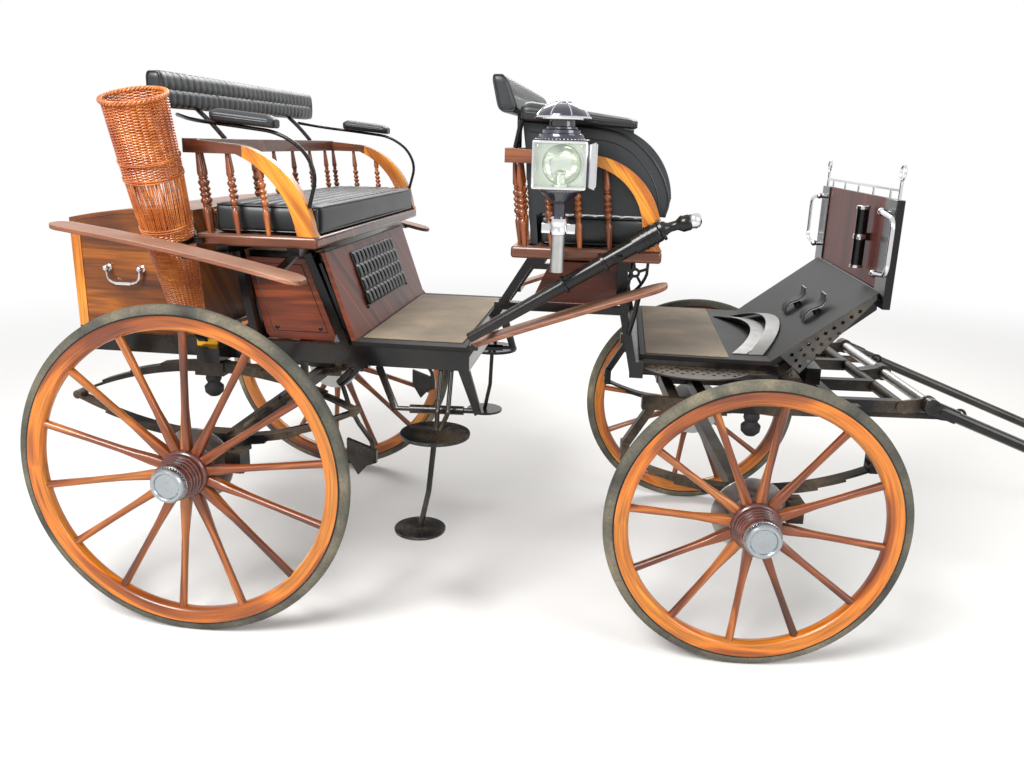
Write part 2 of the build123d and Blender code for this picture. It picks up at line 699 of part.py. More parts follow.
# Spindle turning: share of the length, radius
spindle_turning = [(0, 6.8), (0.30, 10.5), (0.36, 6.5), (0.42, 12.0), (0.48, 7.0), (0.55, 12.0),
                   (0.61, 6.5), (0.70, 10.5), (1, 5.8)]


def spindle():
    """A turned spindle that leans back, level at its foot and its top."""
    sections = [Pos(-spindle_lean * share, 0, spindle_length * share) * Circle(radius)
                for share, radius in spindle_turning]
    return loft(sections, ruled=True)


def seat_spindles(rear_x, half_width, side_places, back_count, rail):
    pieces = []
    rail_y = half_width - arm_rail_thickness / 2 - 2
    straight = spindle()
    for x, under_arm in side_places:
        for y in (-rail_y, rail_y):
            piece = Pos(x, y, spindle_foot_z) * straight
            pieces.append((piece - rail).solids().sort_by(Axis.Z)[0] if under_arm else piece)
    step = 2 * (rail_y - 60) / (back_count - 1)
    for index in range(back_count):
        y = -rail_y + 60 + index * step
        pieces.append(Pos(rear_x + 44, y, spindle_foot_z) * straight)
    return pieces


# Columns: name, rear x, front x, half width, fall x, drop of the arm's outer and inner middle, cushion's rear x,
# spindles along the side (x at the foot, whether the arm cuts it short), spindles across the back
seat_rows = [
    ("rear", rear_seat_rear_x, rear_seat_front_x, rear_seat_half_width, 182.0, 110.0, 142.0, 70.0,
     [(66, False), (160, False), (258, True)], 7),
    ("driver", driver_seat_rear_x, driver_seat_front_x, driver_seat_half_width, 1246.0, 74.0, 92.0, 1090.0,
     [(1050, False), (1130, False), (1215, False), (1304, True)], 7),
]
for name, rear_x, front_x, half_width, fall_x, outer_drop, inner_drop, cushion_x, places, count in seat_rows:
    save("seat_bases", seat_base(rear_x, front_x, half_width))
    rail = seat_rail(rear_x, front_x, half_width, fall_x, outer_drop, inner_drop)
    save("seat_rails", rail)
    save("seat_spindles", *seat_spindles(rear_x, half_width, places, count, rail))
    inset = arm_rail_thickness + 8
    cushion = block((cushion_x, front_x - 6), (-half_width + inset, half_width - inset),
                    (seat_bottom_z + seat_rail_height + cushion_gap, cushion_top_z))
    save("seat_cushions", cushion)

rail_y = rear_seat_half_width - arm_rail_thickness / 2 - 2
driver_rail_y = driver_seat_half_width - arm_rail_thickness / 2 - 2


def driver_shell():
    """Upholstered tub behind and beside the driver: a back and two wings."""
    wing = make_face([
        Line((1066, 1394), (1030, 1654)), Line((1030, 1654), (1216, 1646)),
        ThreePointArc((1216, 1646), (1405, 1596), (1474, 1450)), Line((1474, 1450), (1462, 1394)),
        Line((1462, 1394), (1066, 1394))])
    outer = driver_seat_half_width - arm_rail_thickness - 8
    side = upright(wing, outer - 24, outer)
    back = upright(polygon((1066, 1300), (1088, 1300), (1052, 1690), (1030, 1690)), -outer, outer)
    return side + mirror(side, about=Plane.XZ) + back


save("driver_seat_shell", less(driver_shell(), "seat_rails"))

# Backrest pads: half width and outline in x and z
backrest_rows = [
    (650.0, [(-99, 1668), (-99, 1772), (-49, 1772), (-49, 1668)]),
    (620.0, [(960, 1679), (938, 1783), (978, 1785), (1022, 1702), (1022, 1679)]),
]
for half_width, outline in backrest_rows:
    save("backrest_pads", upright(polygon(*outline), -half_width, half_width))


# Arm pads: rear x, front x, bottom z and thickness at the rear and at the front, y of the middle, width
arm_pad_rows = [(96, 300, 1632, 40, 1614, 38, rail_y, 74), (1012, 1364, 1655.2, 62, 1640, 30, 588, 80)]
for low_x, high_x, rear_z, rear_thickness, front_z, front_thickness, y, width in arm_pad_rows:
    outline = polygon((low_x, rear_z), (low_x, rear_z + rear_thickness), (high_x, front_z + front_thickness),
                      (high_x, front_z))
    pad = upright(outline, y - width / 2, y + width / 2)
    if low_x > 800:
        pad = pad - upright(polygon((1026, 1500), (1026, 1800), (900, 1800), (900, 1500)), 400, 700)
        pad = less(pad, "driver_seat_shell")
    save("arm_pads", both(pad))

arm_iron = rod([(-72, rail_y - 112, 1650), (20, rail_y - 20, 1634), (140, rail_y, 1623), (300, rail_y, 1605),
                (380, rail_y, 1556), (416, rail_y, 1482), (389, rail_y, 1385)], 6, 40)
irons = [both(arm_iron)]
for y in (-400, 400):
    irons.append(rod([(rear_seat_rear_x + 20, y, arm_rail_top_z + 0.1), (-20, y, 1630), (-66, y, 1669)], 8, 20))
    irons.append(rod([(driver_seat_rear_x + 14, y, arm_rail_top_z + 0.1), (driver_seat_rear_x + 14, y, 1679)], 8))
wing_post = rod([(1014, driver_rail_y, arm_rail_top_z + 0.1), (1030, driver_rail_y, 1658)], 8)
irons.append(both(wing_post))
for iron in irons:
    save("seat_irons", less(iron, "seat_rails", "backrest_pads", "arm_pads", "driver_seat_shell"))

# Dashboard
dash_outline = Rectangle(2 * dash_half_width, dash_top_z - dash_bottom_z)
dash_z = (dash_bottom_z, dash_top_z)
panel_z = (dash_bottom_z + 48, dash_top_z)
frame_solid = block((dash_x, dash_x + dash_thickness), (-dash_half_width, dash_half_width), dash_z)
opening = block((dash_x - 5, dash_x + dash_thickness + 5), (-dash_panel_half_width, dash_panel_half_width),
                (dash_bottom_z + 48, dash_top_z + 10))
save("dash_frame", frame_solid - opening)
save("dash_panel", block((dash_x + 6, dash_x + 18), (-dash_panel_half_width + fit_gap, dash_panel_half_width - fit_gap),
                         (dash_bottom_z + 48 + fit_gap, dash_top_z)))


def rein_rail():
    y = 476.0
    z = dash_top_z + 28
    rail = rod([(dash_x + 12, -y, z), (dash_x + 12, y, z)], 4.5)
    for index in range(5):
        post_y = -0.8 * y + index * 0.4 * y
        if abs(post_y) < dash_panel_half_width:
            rail = rail + Pos(dash_x + 12, post_y, dash_top_z + 14) * Cylinder(3.5, 28)
    for side in (-1, 1):
        rail = rail + Pos(dash_x + 12, side * y, dash_top_z + 20) * Cylinder(5, 40)
        loop = Pos(dash_x + 12, side * y, dash_top_z + 78) * Rot(0, 90, 0) * iron_ring(22, 4)
        rail = rail + Pos(dash_x + 12, side * y, dash_top_z + 48) * Cylinder(5, 20) + loop
    return rail


save("dash_rails", rein_rail())

# Grab handles: bows that reach out beside the dashboard, on round feet
grab_x = dash_x - 24
grab_foot_y = 442.0
grab_bar_y = 571.0
grab_z = (1238.0, 1425.0)
grab = rod([(grab_x, grab_foot_y, grab_z[1]), (grab_x, grab_bar_y, grab_z[1] - 12),
            (grab_x, grab_bar_y, grab_z[0] + 12), (grab_x, grab_foot_y, grab_z[0])], 7, 34)
for z in grab_z:
    grab = grab + Pos((grab_x + dash_x) / 2, grab_foot_y, z) * Rot(0, 90, 0) * Cylinder(9, dash_x - grab_x)
    grab = grab + Pos(grab_x, grab_foot_y, z) * Sphere(12)
save("dash_rails", both(grab))
whip_y = -235.0
whip_tube = Pos(dash_x - 24, whip_y, 1330) * (Cylinder(19, 200) - Pos(0, 0, 10) * Cylinder(13, 200))
whip_arm = block((dash_x - 12, dash_x + 5.8), (whip_y - 12, whip_y + 12), (1320, 1344))
save("whip_holder", whip_tube + (whip_arm - Pos(dash_x - 24, whip_y, 1330) * Cylinder(17, 300)))


# Mudguards
def arc_height(points, x):
    """Height at x of the circle through three points."""
    arc = ThreePointArc(*points)
    centre = arc.arc_center
    return centre.Y + math.copysign(math.sqrt(arc.radius ** 2 - (x - centre.X) ** 2), points[1][1] - centre.Y)


end_trim = 8.0


def plank(points, y_inner, y_outer, thickness):
    """A curved plank: an arc through three points in x and z, with rounded ends."""
    low = ThreePointArc(*points)
    high = ThreePointArc(*[(x, z + thickness) for x, z in points])
    face = make_face([low, Line(low @ 1, high @ 1), high, Line(high @ 0, low @ 0)])
    width = y_outer - y_inner
    length = points[2][0] - points[0][0]
    plan = RectangleRounded(length - end_trim, width, 0.42 * width)
    plan = Pos(points[0][0] + length / 2, (y_inner + y_outer) / 2, 900) * plan
    return upright(face, y_inner, y_outer) & extrude(plan, amount=600)


rear_guard_line = [(-330, 1318), (80, 1256), (440, 1180)]
front_guard_line = [(885, 975), (1170, 1080), (1486, 1190)]
save("mudguards", both(plank(rear_guard_line, 765, 875, 15)), both(plank(front_guard_line, 545, 665, 15)))

for stay_x in (100, 330):
    stay_z = arc_height(rear_guard_line, stay_x)
    guard_stay = bar((stay_x, 590, seat_bottom_z - 20), (stay_x, 760, stay_z - 3), 30, 8, across=(1, 0, 0))
    guard_foot = block((stay_x - 15, stay_x + 15), (752, 860), (stay_z - 7, stay_z + 7))
    save("side_irons", both(less(guard_stay + guard_foot, "mudguards", "body_frame")))
front_stay = rod([(1376, 485, 1010), (1392, 560, 1100), (1400, 606, arc_height(front_guard_line, 1400) + 6)], 8, 40)
front_foot_z = arc_height(front_guard_line, 905)
front_foot = block((892, 920), (470, 655), (front_foot_z - 8, front_foot_z + 8))
save("side_irons", both(less(front_stay, "mudguards", "body_frame")))
save("side_irons", both(less(front_foot, "mudguards", "body_frame")))

# Pierced iron brackets under the front corners of the driver's seat
bracket_outline = make_face([
    Line((1330, 1261), (1428, 1261)), Line((1428, 1261), (1426, 1212)),
    ThreePointArc((1426, 1212), (1402, 1168), (1362, 1136)), Line((1362, 1136), (1332, 1136)),
    Line((1332, 1136), (1330, 1261))])
bracket_hub = Pos(1386, 1216) * Circle(15)
bracket_arms = [Pos(1386, 1216) * Rot(0, 0, angle) * Pos(40, 0) * Rectangle(80, 8) for angle in (20, 100, 165, 235, 300)]
bracket_face = bracket_outline - offset(bracket_outline, amount=-9) + (Sketch() + bracket_arms + bracket_hub & bracket_outline)
bracket_face = bracket_face - Pos(1386, 1216) * Circle(7)
bracket = upright(bracket_face, body_half_width + fit_gap, body_half_width + 10)
save("side_irons", both(less(bracket, "body_frame", "seat_bases")))

# Lamps
lamp_x, lamp_y = 1158.0, 740.0


def lamp():
    half = 74.0
    body = block((lamp_x - half, lamp_x + half), (lamp_y - half, lamp_y + half), (1475, 1602))
    body = body - block((lamp_x - half + 8, lamp_x + half - 8), (lamp_y - half + 8, lamp_y + half + 5), (1485, 1592))
    roof = turned([(0, 1602), (66, 1602), (44, 1636), (36, 1636), (36, 1656), (78, 1658), (78, 1667),
                   (60, 1684), (34, 1702), (0, 1708)])
    stem = turned([(0, 1475), (56, 1475), (52, 1462), (30, 1440), (17, 1430), (17, 1388), (0, 1388)])
    return body + Pos(lamp_x, lamp_y, 0) * (roof + stem)


save("lamps", both(lamp()))
lamp_tube = Pos(lamp_x, lamp_y, 1314) * Cylinder(20, 147.6)
lamp_arm = bar((lamp_x, lamp_y, 1330), (lamp_x, driver_seat_half_width - 10, 1278), 30, 14, across=(1, 0, 0))
save("lamp_brackets", both(less(lamp_tube + lamp_arm, "seat_bases")))

# Umbrella basket, on the right side only
basket_top = Vector(-60, -790, 1696)
basket_foot = Vector(-43, -595, 1035)
basket_profile = [(52.5, 0.0), (75, 0.36), (87.3, 0.68), (93, 1.0)]
basket_wall = 8.0


def on_basket(shape):
    return Plane(origin=basket_foot, z_dir=basket_top - basket_foot).location * shape


def umbrella_basket():
    length = (basket_top - basket_foot).length
    outer = [(0, 0)] + [(radius, share * length) for radius, share in basket_profile]
    inner = [(radius - basket_wall, share * length) for radius, share in reversed(basket_profile[1:])]
    return on_basket(turned(outer + inner + [(44, basket_wall), (0, basket_wall)]))


save("umbrella_basket", umbrella_basket())
basket_length = (basket_top - basket_foot).length
hoop = on_basket(Pos(0, 0, 0.36 * basket_length) * extrude(Circle(81) - Circle(60), amount=14))
hoop_strap = block((10, 60), (-676, -rear_seat_half_width + 4), (seat_bottom_z + 8, seat_bottom_z + 24))
foot_plate = on_basket(Pos(0, 0, -6.2) * extrude(Circle(46), amount=6))
foot_arm = bar((-43, -body_half_width + 6, 905), (-43, -598, 1026), 34, 10, across=(1, 0, 0))
basket_iron = less(hoop + hoop_strap, "umbrella_basket", "seat_bases")
save("side_irons", basket_iron.solids().sort_by(SortBy.VOLUME)[-1])
save("side_irons", less(foot_plate + foot_arm, "umbrella_basket", "body_frame"))

# Stowed pole on the right side
pole_y = -driver_seat_half_width - 40
pole_start = (896, pole_y, 1018)
pole_knee = (1452, pole_y, 1368)
pole_end = (1538, pole_y, 1396)


def turned_between(start, end, profile):
    """A turned piece along a line, from radius and share of its length pairs."""
    run = Vector(*end) - Vector(*start)
    rows = [(0, profile[0][1])] + profile + [(0, profile[-1][1])]
    solid = turned([(radius, share * run.length) for radius, share in rows])
    return Plane(origin=start, z_dir=run).location * solid


pole = turned_between(pole_start, pole_knee, [(16, 0), (24, 0.86), (30, 0.86), (30, 0.98), (24, 1.0)])
pole_head = turned_between(pole_knee, pole_end, [(22, 0), (14, 0.25), (14, 0.45), (24, 0.62), (24, 0.85), (14, 1.0)])
save("stowed_pole", pole + pole_head + Pos(*pole_knee) * Sphere(22))
# Clips: x, z of the clip's middle, y where it meets the body
for clip_x, clip_z, clip_y in [(942, 1047, -body_half_width + 4), (1330, 1280, -driver_seat_half_width + 4)]:
    clip = block((clip_x - 14, clip_x + 14), (pole_y - 36, clip_y), (clip_z - 8, clip_z + 8))
    save("side_irons", less(clip, "stowed_pole", "body_frame", "seat_bases").solids().sort_by(Axis.Y)[-1])


# Steps
def step(side_y):
    tread_y = side_y + 140
    legs = rod([(770, side_y, sill_bottom_z + 4), (770, side_y + 60, 730), (780, tread_y - 20, 684)], 8, 30)
    legs = legs + rod([(805, side_y, sill_bottom_z + 4), (805, side_y + 60, 730), (790, tread_y - 20, 684)], 8, 30)
    upper = Pos(780, tread_y, 684) * Cylinder(112, 12)
    hanger = rod([(780, tread_y, 684), (768, tread_y + 40, 500), (742, tread_y + 50, 372)], 9, 60)
    lower = Pos(742, tread_y + 50, 372) * Cylinder(82, 10)
    return legs + upper + hanger + lower


save("steps", both(less(step(body_half_width - 20), "body_frame")))

# Radius rods from the rear axle to curved hangers under the sills, each with a bracket at its foot
under_sill_y = 478.0
hanger_line = [(430, 780), (449, 716), (483, 652), (528, 590), (536, 530)]
hanger_rod = rod([(x, under_sill_y, z) for x, z in hanger_line], 8, 40)
hanger_socket = turned_between((418, under_sill_y, 790), (486, under_sill_y, 856), [(15, 0), (17, 0.3), (17, 0.8), (12, 1)])
hanger_flange = block((455, 525), (under_sill_y - 20, under_sill_y + 20), (sill_bottom_z - 10, sill_bottom_z - fit_gap))
bracket_plate = upright(polygon((441, 597), (503, 575), (545, 560), (545, 515), (512, 503), (479, 467), (441, 530)),
                        under_sill_y - 9, under_sill_y + 9)
radius_rod = rod([(axle_bar / 2 + fit_gap, under_sill_y, rear_wheel_radius + 8), (90, under_sill_y, 570),
                  (330, under_sill_y, 640), (456, under_sill_y, 690)], 9, 60)
save("radius_rods", both(less(radius_rod + hanger_rod + hanger_socket + hanger_flange + bracket_plate, "rear_axle")))

# Gas struts along the sills, each between a link and a hanger
strut_link = bar((556, under_sill_y, sill_bottom_z - 4), (613, under_sill_y, 712), 12, 22)
strut_link = strut_link & block((400, 700), (400, 560), (600, sill_bottom_z - fit_gap))
strut = turned_between((613, under_sill_y, 716), (892, under_sill_y, 724),
                       [(8, 0), (8, 0.18), (15, 0.18), (15, 0.84), (9, 0.84), (9, 1)])
strut_hanger = upright(polygon((826, sill_bottom_z - fit_gap), (866, sill_bottom_z - fit_gap), (908, 722), (886, 708)),
                       under_sill_y - 8, under_sill_y + 8)
save("side_struts", both(strut_link + strut + strut_hanger))
damper_foot = (88, 500, 622)
damper_head = (305, 500, 786)
damper = turned_between(damper_foot, damper_head, [(12, 0), (12, 0.2), (20, 0.2), (20, 0.62), (14, 0.62), (14, 1.0)])
damper_ear = block((axle_bar / 2 + fit_gap, 100), (494, 506), (rear_wheel_radius - 10, rear_wheel_radius + 20))
damper_ear = damper_ear + bar((88, 500, rear_wheel_radius + 5), damper_foot, 12, 24)
damper_top = block((293, 317), (494, 506), (780, sill_bottom_z - fit_gap))
save("dampers", both(damper + damper_ear + damper_top))

# Foot controls: two bowed steel bands across the floor for the driver's heels, two pedals on the toe-board
strap_z = sill_top_z + floor_board + fit_gap
band_half = 325.0
band_middle_y = -50.0
band_width = 48.0
band_thickness = 4.0
# Columns: x of the band's ends and of its middle behind or ahead of the floor's front edge, rise in the middle
heel_bands = [(-112.0, -18.0, 34.0), (-60.0, 32.0, 66.0)]
controls = []
for end_x, middle_x, rise_z in heel_bands:
    low = ThreePointArc((-band_half, strap_z), (0, strap_z + rise_z), (band_half, strap_z))
    high = ThreePointArc((band_half, strap_z + band_thickness), (0, strap_z + rise_z + band_thickness),
                         (-band_half, strap_z + band_thickness))
    side_view = make_face([low, Line(low @ 1, high @ 0), high, Line(high @ 1, low @ 0)])
    rear = ThreePointArc((end_x, -band_half), (middle_x, 0), (end_x, band_half))
    front = ThreePointArc((end_x + band_width, band_half), (middle_x + band_width, 0), (end_x + band_width, -band_half))
    plan = make_face([rear, Line(rear @ 1, front @ 0), front, Line(front @ 1, rear @ 0)])
    arch = Pos(front_floor_rear_x, 0, 0) * extrude(Plane.YZ * side_view, amount=700)
    band = arch & Pos(front_floor_front_x, 0, sill_top_z) * extrude(plan, amount=200)
    controls.append(Pos(0, band_middle_y, 0) * band)


def on_toe(distance, y, shape):
    """Places a shape drawn on a flat plane onto the toe-board, at a distance up its slope."""
    face = Plane(origin=(front_floor_front_x, y, sill_top_z + floor_board), x_dir=(math.cos(slope), 0, math.sin(slope)),
                 z_dir=(-math.sin(slope), 0, math.cos(slope)))
    return face.location * Pos(distance, 0, fit_gap) * shape


for distance, y in [(190, -30), (215, -255)]:
    pedal = Pos(0, 0, 20) * Box(110, 62, 6) + Pos(0, 0, 10) * Box(30, 30, 20)
    controls.append(on_toe(distance, y, pedal))
save("foot_controls", *controls)
riser_run = 98 / (riser_top - riser_foot)
pad_top, pad_foot = riser_top - 12, riser_top - 190
pad_back = [388 + fit_gap + (riser_top - z) * riser_run for z in (pad_top, pad_foot)]
save("riser_pad", upright(polygon((pad_back[0], pad_top), (pad_back[0] + 14, pad_top), (pad_back[1] + 14, pad_foot),
                                  (pad_back[1], pad_foot)), -180, 180))

# Trace plates: bars under the draught bar that end in an eye
trace_bar_end_x = shaft_pivot_x + 75
trace_bar_y = 383.0
trace_bar_thickness = 21.8


def trace_bar():
    high_z = gear_beam_top_z - gear_beam_height - fit_gap
    low_z = high_z - trace_bar_thickness
    arm = block((gear_front_x - 55, trace_bar_end_x), (trace_bar_y - 16, trace_bar_y + 16), (low_z, high_z))
    end = Pos(trace_bar_end_x, trace_bar_y, low_z) * extrude(Circle(30), amount=trace_bar_thickness)
    eye = Pos(trace_bar_end_x + 48, trace_bar_y, (low_z + high_z) / 2) * Rot(90, 0, 0) * iron_ring(20, 5)
    return arm + end + eye


save("trace_bars", both(less(trace_bar(), "draught_bar", "front_gear_frame")), steered=True)

# The whole stands on the ground with the frame's origin under the middle of its length
king = Pos(wheelbase, 0, 0) * Rot(0, 0, steer_at_rest) * Pos(-wheelbase, 0, 0)
placed = {}
for name, solids in nodes.items():
    shape = Compound(solids)
    placed[name] = king * shape if name in steered_nodes else shape
limits = [shape.bounding_box() for shape in placed.values()]
low_x = min(box.min.X for box in limits)
high_x = max(box.max.X for box in limits)
centre = Pos(-(low_x + high_x) / 2, 0, 0)

os.makedirs("parts", exist_ok=True)
for name, shape in placed.items():
    export_step(centre * shape, f"parts/{name}.step")
print("origin x shift", -(low_x + high_x) / 2)
print("steering pin x", wheelbase - (low_x + high_x) / 2)
print("length", high_x - low_x, "low z", min(box.min.Z for box in limits))
print("width", min(box.min.Y for box in limits), max(box.max.Y for box in limits))
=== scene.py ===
import json
import math
import random
import bmesh
import bpy
from mathutils import Matrix, Vector


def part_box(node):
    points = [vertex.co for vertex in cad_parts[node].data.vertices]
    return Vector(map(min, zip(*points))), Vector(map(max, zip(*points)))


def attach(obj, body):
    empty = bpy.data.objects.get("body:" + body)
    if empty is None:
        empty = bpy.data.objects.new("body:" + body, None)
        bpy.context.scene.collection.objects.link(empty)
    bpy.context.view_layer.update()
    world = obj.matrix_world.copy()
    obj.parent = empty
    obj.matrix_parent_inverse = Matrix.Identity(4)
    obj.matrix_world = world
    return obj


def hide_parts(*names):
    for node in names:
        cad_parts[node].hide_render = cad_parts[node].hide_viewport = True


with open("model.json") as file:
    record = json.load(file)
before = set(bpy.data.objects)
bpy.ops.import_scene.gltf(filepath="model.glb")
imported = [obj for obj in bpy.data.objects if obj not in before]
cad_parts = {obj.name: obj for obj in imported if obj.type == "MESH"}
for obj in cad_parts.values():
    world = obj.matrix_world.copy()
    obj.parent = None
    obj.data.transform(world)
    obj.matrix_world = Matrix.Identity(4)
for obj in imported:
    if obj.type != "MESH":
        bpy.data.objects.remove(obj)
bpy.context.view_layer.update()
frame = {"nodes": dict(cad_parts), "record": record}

nodes = frame["nodes"]
scene = bpy.context.scene
nodeBody = {node: body for body, held in frame["record"]["behaviour"]["bodies"].items() for node in held}
print("frame loaded,", len(nodes), "nodes")

# Metres, with x from the rear axle as in the part's source; these matrices put a piece into the shared frame
rearAxleX = (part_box("tyre_rear_right")[0].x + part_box("tyre_rear_right")[1].x) / 2
wheelbase = 1.75
steerAtRest = 4.5
onBody = Matrix.Translation((rearAxleX, 0, 0))
kingPin = Matrix.Translation((wheelbase, 0, 0))
onFore = onBody @ kingPin @ Matrix.Rotation(math.radians(steerAtRest), 4, "Z") @ kingPin.inverted()
mirrored = Matrix.Scale(-1, 4, (0, 1, 0))

camera = {"place": (1.3349, -3.2108, 1.5934), "yaw": 6.83, "pitch": 15.58, "roll": 1.68, "lens": 30.38}


def turned(degrees, axis):
    return Matrix.Rotation(math.radians(degrees), 4, axis)


def placeCamera():
    data = bpy.data.cameras.new("camera")
    data.lens = camera["lens"]
    data.sensor_width = 36.0
    data.clip_start = 0.05
    obj = bpy.data.objects.new("camera", data)
    scene.collection.objects.link(obj)
    aim = turned(camera["yaw"], "Z") @ turned(90 - camera["pitch"], "X") @ turned(camera["roll"], "Z")
    obj.matrix_world = onBody @ Matrix.Translation(camera["place"]) @ aim
    scene.camera = obj


placeCamera()


# Shader helpers

def asColour(value):
    # Screen tones from 0 to 255 become linear, a lone number becomes a grey, and a socket stays as it is.
    if isinstance(value, (int, float)):
        return (value, value, value, 1)
    if isinstance(value, tuple):
        shares = [part / 255 for part in value]
        return (*[share / 12.92 if share <= 0.04045 else ((share + 0.055) / 1.055) ** 2.4
                  for share in shares], 1)
    return value


def setSockets(tree, node, values):
    # Gives each socket a constant, or links another node's output to it.
    for key, value in values.items():
        if isinstance(value, bpy.types.NodeSocket):
            tree.links.new(value, node.inputs[key])
        else:
            node.inputs[key].default_value = value


def addNode(tree, kind, sockets, **settings):
    node = tree.nodes.new("ShaderNode" + kind)
    for key, value in settings.items():
        setattr(node, key, value)
    setSockets(tree, node, sockets)
    return node


def newMaterial(name, **values):
    material = bpy.data.materials.new(name)
    material.use_nodes = True
    tree = material.node_tree
    shader = tree.nodes["Principled BSDF"]
    setSockets(tree, shader, {key.replace("_", " "): value for key, value in values.items()})
    return material, tree, shader


def mapped(tree, scale=(1, 1, 1), onGrain=False):
    # Object coordinates, or the piece's grain map, scaled by three numbers.
    if onGrain:
        source = addNode(tree, "UVMap", {}, uv_map="grain").outputs["UV"]
    else:
        source = addNode(tree, "TexCoord", {}).outputs["Object"]
    return addNode(tree, "Mapping", {"Vector": source, "Scale": scale}).outputs["Vector"]


def noiseField(tree, vector, scale, detail=3.0, distortion=0.0):
    sockets = {"Vector": vector, "Scale": scale, "Detail": detail, "Distortion": distortion}
    return addNode(tree, "TexNoise", sockets).outputs["Fac"]


def ramp(tree, value, *stops):
    # Colour ramp; stops are (position, colour).
    node = addNode(tree, "ValToRGB", {"Fac": value})
    elements = node.color_ramp.elements
    while len(elements) < len(stops):
        elements.new(0.5)
    for element, (position, colour) in zip(elements, stops):
        element.position = position
        element.color = asColour(colour)
    return node.outputs["Color"]


def compute(tree, operation, *values):
    return addNode(tree, "Math", dict(enumerate(values)), operation=operation).outputs["Value"]


def mixColour(tree, factor, first, second, blend="MIX"):
    # Sockets by number: factor, the two colours, and the mixed colour.
    sockets = {0: factor, 6: asColour(first), 7: asColour(second)}
    return addNode(tree, "Mix", sockets, data_type="RGBA", blend_type=blend).outputs[2]


def addBump(tree, shader, height, strength, distance):
    bump = addNode(tree, "Bump", {"Height": height, "Strength": strength, "Distance": distance})
    tree.links.new(bump.outputs["Normal"], shader.inputs["Normal"])


def upward(tree, source):
    # The Z of the object coordinates or of the normal.
    vector = addNode(tree, "TexCoord", {}).outputs[source]
    return addNode(tree, "SeparateXYZ", {"Vector": vector}).outputs["Z"]


def upFacing(tree):
    # How far a face looks up, from 0 to 1.
    return compute(tree, "MAXIMUM", upward(tree, "Normal"), 0.0)


def wood(name, dark, middle, light, rings=26.0, stretch=9.0, roughness=0.32, coat=0.7, dust=0.0):
    # Varnished wood whose grain runs along u of the piece's own grain map.
    material, tree, shader = newMaterial(name, Roughness=roughness, Coat_Weight=coat, Coat_Roughness=0.08)
    figure = noiseField(tree, mapped(tree, (1, stretch, 1), True), 1.6, 2.0, 0.4)
    ringWave = compute(tree, "SINE", compute(tree, "MULTIPLY", figure, rings))
    ringShade = compute(tree, "MULTIPLY_ADD", ringWave, 0.5, 0.5)
    fine = noiseField(tree, mapped(tree, (6, stretch * 22, 1), True), 1.0, 4.0)
    body = ramp(tree, figure, (0.30, dark), (0.50, middle), (0.72, light))
    ringed = mixColour(tree, compute(tree, "MULTIPLY", ringShade, 0.5), body, dark)
    pores = ramp(tree, fine, (0.38, 0.55), (0.55, 1.0))
    colour = mixColour(tree, 0.75, ringed, pores, "MULTIPLY")
    # Faces that look up turn pale towards a dusty tone: road dust, and on the mudguards also a painted
    # highlight on their tops.
    if dust:
        cover = compute(tree, "MULTIPLY", upFacing(tree), noiseField(tree, mapped(tree), 7.0, 5.0))
        colour = mixColour(tree, compute(tree, "MULTIPLY", cover, dust), colour, (176, 140, 118))
    tree.links.new(colour, shader.inputs["Base Color"])
    addBump(tree, shader, fine, 0.12, 0.0006)
    return material


def dusty(name, base, amount, roughness, dust=(158, 136, 108), scale=6.0, coat=0.0, low=0.35, high=1.25):
    # Paint or iron with road dust, full below the low height, and above the high one only on what looks up.
    material, tree, shader = newMaterial(name, Coat_Weight=coat, Coat_Roughness=0.12, Specular_IOR_Level=0.3)
    place = mapped(tree)
    fine = noiseField(tree, place, scale * 14, 3.0)
    cover = ramp(tree, noiseField(tree, place, scale, 6.0), (0.42, 0), (0.72, 1))
    span = {"Value": upward(tree, "Object"), "From Min": low, "From Max": high, "To Min": 1, "To Max": 0}
    lowShare = addNode(tree, "MapRange", span).outputs["Result"]
    reach = compute(tree, "MULTIPLY", compute(tree, "MULTIPLY_ADD", upFacing(tree), 0.55, lowShare), cover)
    reach = compute(tree, "MULTIPLY", reach, compute(tree, "MULTIPLY", fine, 1.6))
    reach = compute(tree, "MINIMUM", compute(tree, "MULTIPLY", reach, amount), 0.85)
    shine = compute(tree, "MULTIPLY_ADD", reach, 0.5, roughness)
    setSockets(tree, shader, {"Base Color": mixColour(tree, reach, base, dust), "Roughness": shine})
    addBump(tree, shader, fine, 0.08, 0.0006)
    return material


def leatherMaterial(name, base, light):
    material, tree, shader = newMaterial(name, Coat_Weight=0.15, Coat_Roughness=0.3)
    place = mapped(tree)
    worn = noiseField(tree, place, 5.0, 5.0)
    tones = ramp(tree, worn, (0.35, base), (0.75, light))
    shine = compute(tree, "MULTIPLY_ADD", worn, 0.22, 0.32)
    setSockets(tree, shader, {"Base Color": tones, "Roughness": shine})
    pores = addNode(tree, "TexVoronoi", {"Vector": place, "Scale": 420.0})
    addBump(tree, shader, pores.outputs["Distance"], 0.16, 0.0006)
    return material


def plainMaterial(name, base, roughness, wear, metallic=1.0, scale=30.0, **values):
    # One colour whose roughness wanders a little.
    material, tree, shader = newMaterial(name, Base_Color=asColour(base), Metallic=metallic, **values)
    spots = noiseField(tree, mapped(tree), scale, 4.0)
    tree.links.new(compute(tree, "MULTIPLY_ADD", spots, wear, roughness), shader.inputs["Roughness"])
    return material


